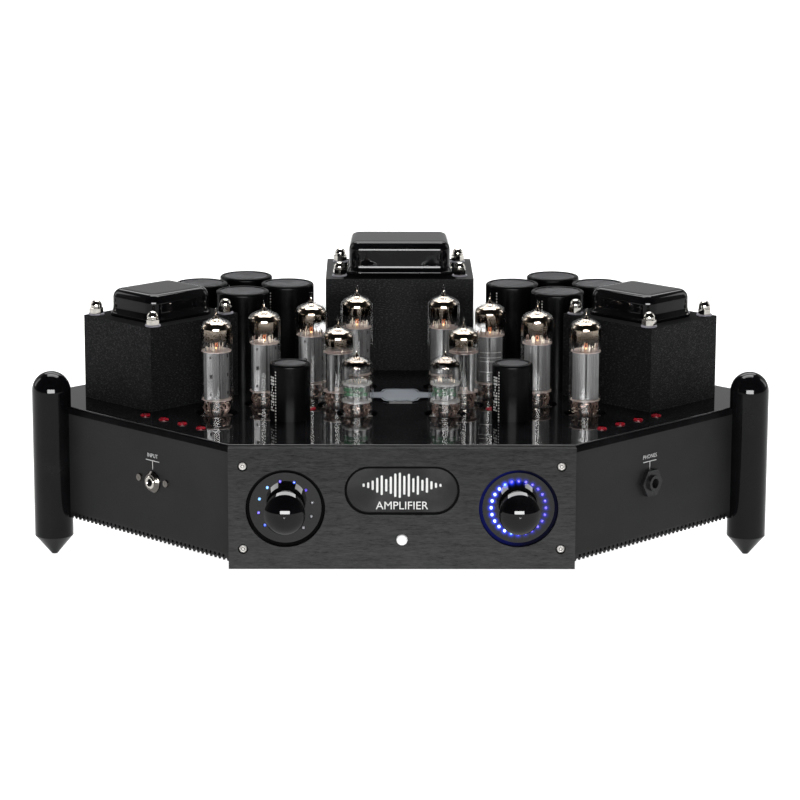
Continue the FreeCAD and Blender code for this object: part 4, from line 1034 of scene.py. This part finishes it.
def make_window():
    """A plain sound-wave drawing and one ordinary word in the window."""
    face = whole("window_plate").low.y
    thick = 0.12
    bars = (2.2, 3.6, 6.0, 9.5, 12.5, 8.0, 11.0, 15.0, 16.0, 12.0, 14.5, 9.0, 12.0, 7.0, 9.5,
            5.2, 3.2, 2.0)
    shape = Shape()
    for number, tall in enumerate(bars):
        x = (number - (len(bars) - 1) / 2) * BAR_PITCH
        bar = prism(rounded_box(1.35, tall, 0.6, 3, x), 0, thick)
        shape.put(bar, facing((0, face, MOTIF_Z), FRONT))
    shape.put(lettering("AMPLIFIER", 7.2, thick), facing((0, face, WORD_Z), FRONT))
    pale = satin_paint("window_white", (0.55, 0.55, 0.54), 0.4, 0.006)
    make("window_motif", shape, [pale])


def make_marks(pale):
    """Plain marks over the two jacks of the front side panels."""
    thick = 0.05
    shape = Shape()
    for (normal, origin), word in ((LEFT_JACK, "INPUT"), (RIGHT_JACK, "PHONES")):
        place = facing(origin, normal)
        for half, low, high in ((6.4, 13.6, 14.1), (0.28, 8.2, 13.6)):
            loop = [(-half, low), (half, low), (half, high), (-half, high)]
            shape.put(prism(loop, 0, thick), place)
        shape.put(lettering(word, 3.6, thick), place @ at(0, 17.0, 0))
    make("jack_marks", shape, [pale])


def make_jacks(chrome, black, dark):
    """The bright ring and dark throat of each front jack, and the input jack's nut."""
    shape = Shape()
    for (normal, origin), bore, node, kind in ((LEFT_JACK, 2.3, "input_jack", 0),
                                               (RIGHT_JACK, 3.3, "phones_nut", 1)):
        # How far the CAD node stands out of the panel.
        lift = max((vert.co / MM - origin).dot(normal) for vert in nodes[node].data.vertices)
        place = facing(origin, normal)
        ring = [(bore, lift - 1.0), (bore + 1.7, lift - 1.0), (bore + 1.8, lift + 0.35),
                (bore + 1.3, lift + 0.75), (bore + 0.4, lift + 0.65), (bore, lift + 0.2),
                (bore, lift - 1.0)]
        shape.put(lathe(ring, 40, kind), place)
        if node == "input_jack":
            nut = [(bore + 1.9, 0.1), (7.0, 0.1), (7.0, 0.8), (6.3, 1.5), (5.2, lift),
                   (bore + 1.9, lift + 0.1), (bore + 1.9, 0.1)]
            shape.put(lathe(nut, 40, 2), place)
    make("jack_rings", shape, [chrome, black, dark])


def make_test_bore_shades(black):
    """A black disc of painted shade in the socket at the top of each red test jack."""
    shape = Shape()
    for box in solids("test_jacks"):
        bore = [(0, -1.0), (1.0, -1.0), (1.0, 0.02), (0, 0.04)]
        shape.put(lathe(bore, 20), box.stand(box.high.z))
    make("test_bore_shades", shape, [black])


def make_badge(face, border):
    """A plain grey plate on the dark lozenge, with a dark line round it."""
    box = whole("deck_badge")
    outer, inner, hollow = (badge_outline(box, margin) for margin in (1.3, 2.6, 3.2))
    top = box.high.z
    shape = plate([outer], top, top + 0.12)
    shape.put(plate([inner, hollow], top + 0.12, top + 0.17, kind=1))
    make("badge_face", shape, [face, border])


def badge_outline(box, margin):
    """The lozenge: long and pointed at its ends, with a raised middle."""
    half = box.size.x / 2 - margin * 1.6
    deep = box.size.y / 2 - margin
    y = box.centre.y
    quarter = [(half, 0.0), (half * 0.72, deep * 0.38), (half * 0.42, deep * 0.52),
               (half * 0.36, deep * 0.92), (half * 0.30, deep)]
    top = quarter + [(-x, z) for x, z in reversed(quarter)]
    return [(x, y + z) for x, z in top] + [(-x, y - z) for x, z in top[1:-1]]


# ---- perforated tray ----

TRAY_LOW = 25.4
TRAY_HIGH = 30.1
HOLE_PITCH = 4.0  # along the tray's walls
ROW_PITCH = 7.4  # from row to row of the tray's floor
FLOOR_PITCH = 8.5  # along a row


def perforated_strip(length):
    """An upright strip with a row of round holes, and a row cut through by its lower edge."""
    count = int(length // HOLE_PITCH)
    first = (length - (count - 1) * HOLE_PITCH) / 2
    lower = [(0.0, 0.0)]
    for number in range(count):
        lower += arc(first + number * HOLE_PITCH, 0.0, 1.5, 180, 0, 6)
    tall = TRAY_HIGH - TRAY_LOW
    loops = [lower + [(length, 0.0), (length, tall), (0.0, tall)]]
    for number in range(count - 1):
        loops.append(circle(1.05, 8, first + (number + 0.5) * HOLE_PITCH, 2.9))
    return plate(loops, -0.6, 0.6)


def make_tray(look):
    shape = Shape()
    # Each wall's two ends, anticlockwise, seen from above.
    right = [((107.8, -156.5), (217.2, -47.1)), ((231.0, -29.0), (231.0, 6.3)),
             ((231.0, 6.3), (86.0, 151.3))]
    left = [((-end[0], end[1]), (-start[0], start[1])) for start, end in right]
    for start, end in left + right + [((67.0, 160.0), (-67.0, 160.0)),
                                      ((-106.0, -156.5), (106.0, -156.5))]:
        a = Vector((*start, TRAY_LOW))
        b = Vector((*end, TRAY_LOW))
        along = (b - a).normalized()
        outward = along.cross(UP)
        shape.put(perforated_strip((b - a).length), placed(a - outward * 0.75, along, UP, outward))
    half = [(106.5, -155.2), (215.0, -46.7), (214.0, -30.5), (229.6, -28.5), (229.6, 5.6),
            (85.0, 150.2), (68.0, 150.2), (66.5, 158.6)]
    loops = [half + [(-x, y) for x, y in reversed(half)]]
    for row in range(40):
        y = -148.0 + row * ROW_PITCH
        reach = min(y + 155.2 + 106.5, 221.0, 5.6 - y + 229.6) - 12.0
        if -60 < y < -20:
            reach = min(reach, 205.0)
        if y > 138:
            reach = min(reach, 58.0)
        count = int(reach // FLOOR_PITCH)
        for number in range(-count, count + 1):
            x = (number + (0.5 if row % 2 else 0.0)) * FLOOR_PITCH
            if abs(x) < reach:
                loops.append(circle(2.3, 8, x, y))
    shape.put(plate(loops, TRAY_LOW + 0.9, TRAY_LOW + 2.1))
    make("perforated_tray", shape, [look], replaces=("bottom_cover",))


# ---- rear ----


def fluted_cap(radius, tall):
    """A screw cap with flutes round it, a smooth collar and a dished end."""
    flutes = 18
    # Heights, radii and depths of the flutes.
    levels = ((0.0, radius - 0.5, 0.0), (0.5, radius, 0.0), (3.0, radius, 0.0), (3.6, radius, 0.4),
              (tall - 1.2, radius, 0.4), (tall - 0.3, radius - 0.6, 0.3), (tall, radius - 1.5, 0.0))
    rings = []
    for height, reach, depth in levels:
        ring = []
        for x, y in circle(1.0, 72):
            size = reach - depth * (0.5 - 0.5 * math.cos(flutes * math.atan2(y, x)))
            ring.append(Vector((x * size, y * size, height)))
        rings.append(ring)
    return loft(rings)


def make_speaker_caps():
    black = moulded("cap_black", (0.012, 0.012, 0.012), 0.3)
    red = moulded("cap_red", (0.50, 0.015, 0.012), 0.3)
    gold = polished_metal("cap_gold", (0.9, 0.68, 0.32), 0.14)
    for number in range(1, 5):
        node = "speaker_cap_%d" % number
        box = whole(node)
        place = facing((box.centre.x, box.low.y, box.centre.z), REAR)
        shape = Shape().put(fluted_cap(6.5, box.size.y), place)
        make("cap_grip_%d" % number, shape, [red if number % 2 else black, gold],
             body="cap_%d" % number, replaces=(node,))


# ---- camera, floor and light ----


def add_camera():
    """A long lens in front of the amplifier, a little above it, looking slightly down."""
    pitch, yaw, roll = (math.radians(angle) for angle in (12.308, 0.463, 0.156))
    ahead = Vector((math.sin(yaw) * math.cos(pitch), math.cos(yaw) * math.cos(pitch),
                    -math.sin(pitch)))
    level = Vector((math.cos(yaw), -math.sin(yaw), 0))
    above = level.cross(ahead)
    right = level * math.cos(roll) + above * math.sin(roll)
    upward = above * math.cos(roll) - level * math.sin(roll)
    data = bpy.data.cameras.new("camera")
    data.sensor_width = 36.0
    data.lens = 140.37
    camera = add_object("camera", data)
    camera.matrix_world = placed((-0.0166, -2.0388, 0.5393), right, upward, -ahead)
    bpy.context.scene.camera = camera


def add_floor():
    """A wide white table that glows a little, as a light table does."""
    mesh = bpy.data.meshes.new("floor")
    size = 20.0
    mesh.from_pydata([(-size, -size, 0), (size, -size, 0), (size, size, 0), (-size, size, 0)],
                     [], [(0, 1, 2, 3)])
    floor = add_object("floor", mesh)
    look = Look("floor_white", (0.5, 0.5, 0.5), 0.9)
    look.give("Emission Color", (1.0, 1.0, 1.0, 1.0))
    look.give("Emission Strength", look.between(look.noise(0.5, 2.0), 0.3, 0.7, 0.97, 0.99))
    look.give("Specular IOR Level", 0.0)
    mesh.materials.append(look.material)


def add_world():
    """A dark studio with a white backdrop low behind the amplifier."""
    world = bpy.data.worlds.new("studio")
    bpy.context.scene.world = world
    world.use_nodes = True
    sky = Nodes(world.node_tree)
    split = sky.split(sky.node("TexCoord").outputs["Generated"])
    behind = sky.between(split["Y"], -0.3, 0.6, soft=True)
    low = sky.between(split["Z"], 0.30, 0.75, 1.0, 0.12, soft=True)
    background = sky.tree.nodes["Background"].inputs
    background["Color"].default_value = (1, 1, 1, 1)
    sky.feed(background["Strength"], sky.sums("MULTIPLY_ADD", sky.times(behind, low), 0.42, 0.018))


def soft_light(name, azimuth, elevation, distance, width, height, glossy, diffuse):
    """A softbox aimed at the amplifier. Azimuth 0 is in front, 90 on its right.

    It is two lights in one place: one that surfaces reflect, and one that lights them.
    """
    target = Vector((0, 0, 0.1))
    a, e = math.radians(azimuth), math.radians(elevation)
    away = Vector((math.sin(a) * math.cos(e), -math.cos(a) * math.cos(e), math.sin(e)))
    for part, radiance in (("shine", glossy), ("fill", diffuse)):
        if radiance <= 0:
            continue
        data = bpy.data.lights.new(name + "_" + part, "AREA")
        data.shape = "RECTANGLE"
        data.size = width
        data.size_y = height
        data.energy = radiance * math.pi * width * height
        lamp = add_object(name + "_" + part, data)
        lamp.location = target + away * distance
        lamp.rotation_mode = "QUATERNION"
        lamp.rotation_quaternion = away.to_track_quat("Z", "Y")
        lamp.visible_camera = False
        lamp.visible_diffuse = lamp.visible_transmission = part == "fill"
        lamp.visible_glossy = part == "shine"


def add_studio():
    add_camera()
    add_floor()
    add_world()
    # Azimuth, elevation, distance, width, height, and the radiance for gloss and for diffuse.
    for name, *numbers in (("front_box", 0, 7.2, 3.0, 2.3, 0.74, 42.0, 10.5),
                           ("top_box", 180, 68, 2.2, 1.7, 0.9, 10.0, 12.0),
                           ("rear_box", 180, 42, 2.6, 2.4, 0.8, 4.0, 3.0),
                           ("rear_fill", 180, 18, 3.0, 2.3, 0.8, 0.0, 12.0),
                           ("left_box", -115, 22, 3.0, 0.7, 1.6, 3.0, 2.0),
                           ("right_box", 115, 22, 3.0, 0.7, 1.6, 3.0, 2.0)):
        soft_light(name, *numbers)
    scene = bpy.context.scene
    scene.view_settings.view_transform = "Standard"
    scene.cycles.transparent_max_bounces = 32


# ---- finishes of the pieces that keep their CAD shape ----


def soften_edges(name):
    """A narrow rounding that lets a CAD piece's edges catch the light."""
    bevel = nodes[name].modifiers.new("edge", "BEVEL")
    bevel.width = 0.5 * MM
    bevel.segments = 2
    bevel.limit_method = "ANGLE"
    bevel.angle_limit = math.radians(50)
    bevel.harden_normals = False


def deck_look():
    """Gloss black, whose edges and upright faces hardly shine."""
    look = gloss_paint("deck_gloss", (0.0035, 0.0035, 0.004), 0.01, 1.27)
    level = look.sums("ABSOLUTE", look.facing_up())
    look.give("Specular IOR Level", look.between(level, 0.5, 0.8, 0.02, 0.5))
    return look


def faceplate_look():
    """Brushed black, which shines less towards its lower edge."""
    look = brushed_metal("brushed_black", (0.017, 0.017, 0.0175), 0.36, (220, 220, 1700),
                         0.0, 0.02, 0.6)
    look.give("IOR", 1.22)
    box = whole("faceplate")
    look.give("Specular IOR Level", look.between(
        look.split(look.place)["Z"], box.low.z * MM, box.high.z * MM, 0.56, 0.26))
    return look


def disc_look():
    look = gloss_paint("disc_black", (0.002, 0.002, 0.0022), 0.02, 1.45)
    ring_glow(look, 1.5, 2.2, 0.25)
    return look


def finish_cad_nodes(enamel, dark_chrome):
    trimmers = " ".join("bias_trimmer_%d" % number for number in range(1, 9))
    for look, names in (
            (deck_look(), "deck_plate"),
            (disc_look(), "ring_discs"),
            (satin_paint("satin_black", (0.011, 0.011, 0.011), 0.42, 0.012, ior=1.2),
             "side_panel_left side_panel_right rear_shell front_subpanel"),
            (faceplate_look(), "faceplate"),
            (crinkle_paint("output_core_crinkle", 0.03), "output_cores"),
            # Painted shade: the power core's top stays dark 38 mm either side of the middle, round
            # its bell.
            (crinkle_paint("power_core_crinkle", 0.16, 38.0), "power_core"),
            (gloss_paint("knob_gloss", (0.002, 0.002, 0.0025), 0.02, 1.32),
             "selector_knob volume_knob"),
            (satin_paint("button_satin", (0.75, 0.75, 0.75), 0.4, 0.004), "standby_button"),
            (dark_chrome, "input_jack_screws"),
            (moulded("socket_brown", (0.03, 0.018, 0.012), 0.45), "tube_sockets"),
            (moulded("component_black", (0.012, 0.012, 0.013), 0.3, ior=1.3),
             "encoders standby_switch input_jack phones_jack phones_nut power_inlet "
             "power_switch power_rocker"),
            (polished_metal("turned_steel", (0.6, 0.6, 0.6), 0.2),
             "selector_shaft volume_shaft board_standoffs"),
            (moulded("test_red", (0.38, 0.008, 0.02), 0.25, ior=1.3), "test_jacks"),
            (moulded("trimmer_blue", (0.03, 0.10, 0.25), 0.4), "trimmer_bodies"),
            (polished_metal("trimmer_brass", (0.75, 0.62, 0.38), 0.2), trimmers),
            (polished_metal("gold_plate", (0.9, 0.68, 0.32), 0.14), "phono_jacks speaker_posts"),
            (moulded("board_green", (0.01, 0.06, 0.02), 0.35), "main_board"),
            (moulded("winding", (0.35, 0.14, 0.05), 0.4), "transformer_coils"),
            (enamel, "front_legs rear_legs deck_badge"),
            (gloss_paint("window_black", (0.012, 0.012, 0.0125), 0.2, 1.3), "window_plate")):
        for name in names.split():
            nodes[name].data.materials.clear()
            nodes[name].data.materials.append(look.material)
    for name in ("output_cores", "power_core"):
        soften_edges(name)


add_studio()
enamel = gloss_paint("gloss_enamel", (0.0025, 0.0025, 0.003), 0.02, 1.25)
nickel = polished_metal("nickel", (0.52, 0.50, 0.46), 0.07)
dark_chrome = polished_metal("dark_chrome", (0.14, 0.13, 0.12), 0.15)
# Near-black for the painted shade in the recesses round the discs, the window and the screw heads;
# it also gets a painted glow of the lamps' spill.
recess_shade = satin_paint("recess_shade_black", (0.0006, 0.0006, 0.0006), 0.3, 0.003, ior=1.06)
ring_glow(recess_shade, 8.0, 0.12, 0.15)
# Black for the phones jack's ring, and the painted shade in the test jacks' sockets.
jack_black_and_bore_shade = moulded("jack_black_and_bore_shade", (0.008, 0.008, 0.008), 0.3)
finish_cad_nodes(enamel, dark_chrome)
make_tubes()
make_transformers(enamel, nickel)
make_cans()
make_rings()
make_window()
make_front_details(recess_shade, satin_paint("screw_steel", (0.68, 0.66, 0.63), 0.4, 0.004, ior=1.12))
make_marks(satin_paint("mark_white", (0.5, 0.5, 0.5), 0.5))
make_jacks(nickel, jack_black_and_bore_shade, dark_chrome)
make_badge(satin_paint("badge_grey", (0.36, 0.39, 0.43), 0.35, 0.003, ior=1.3), enamel)
make_tray(satin_paint("matt_black", (0.004, 0.004, 0.004), 0.4, ior=1.3))
make_test_bore_shades(jack_black_and_bore_shade)
make_speaker_caps()
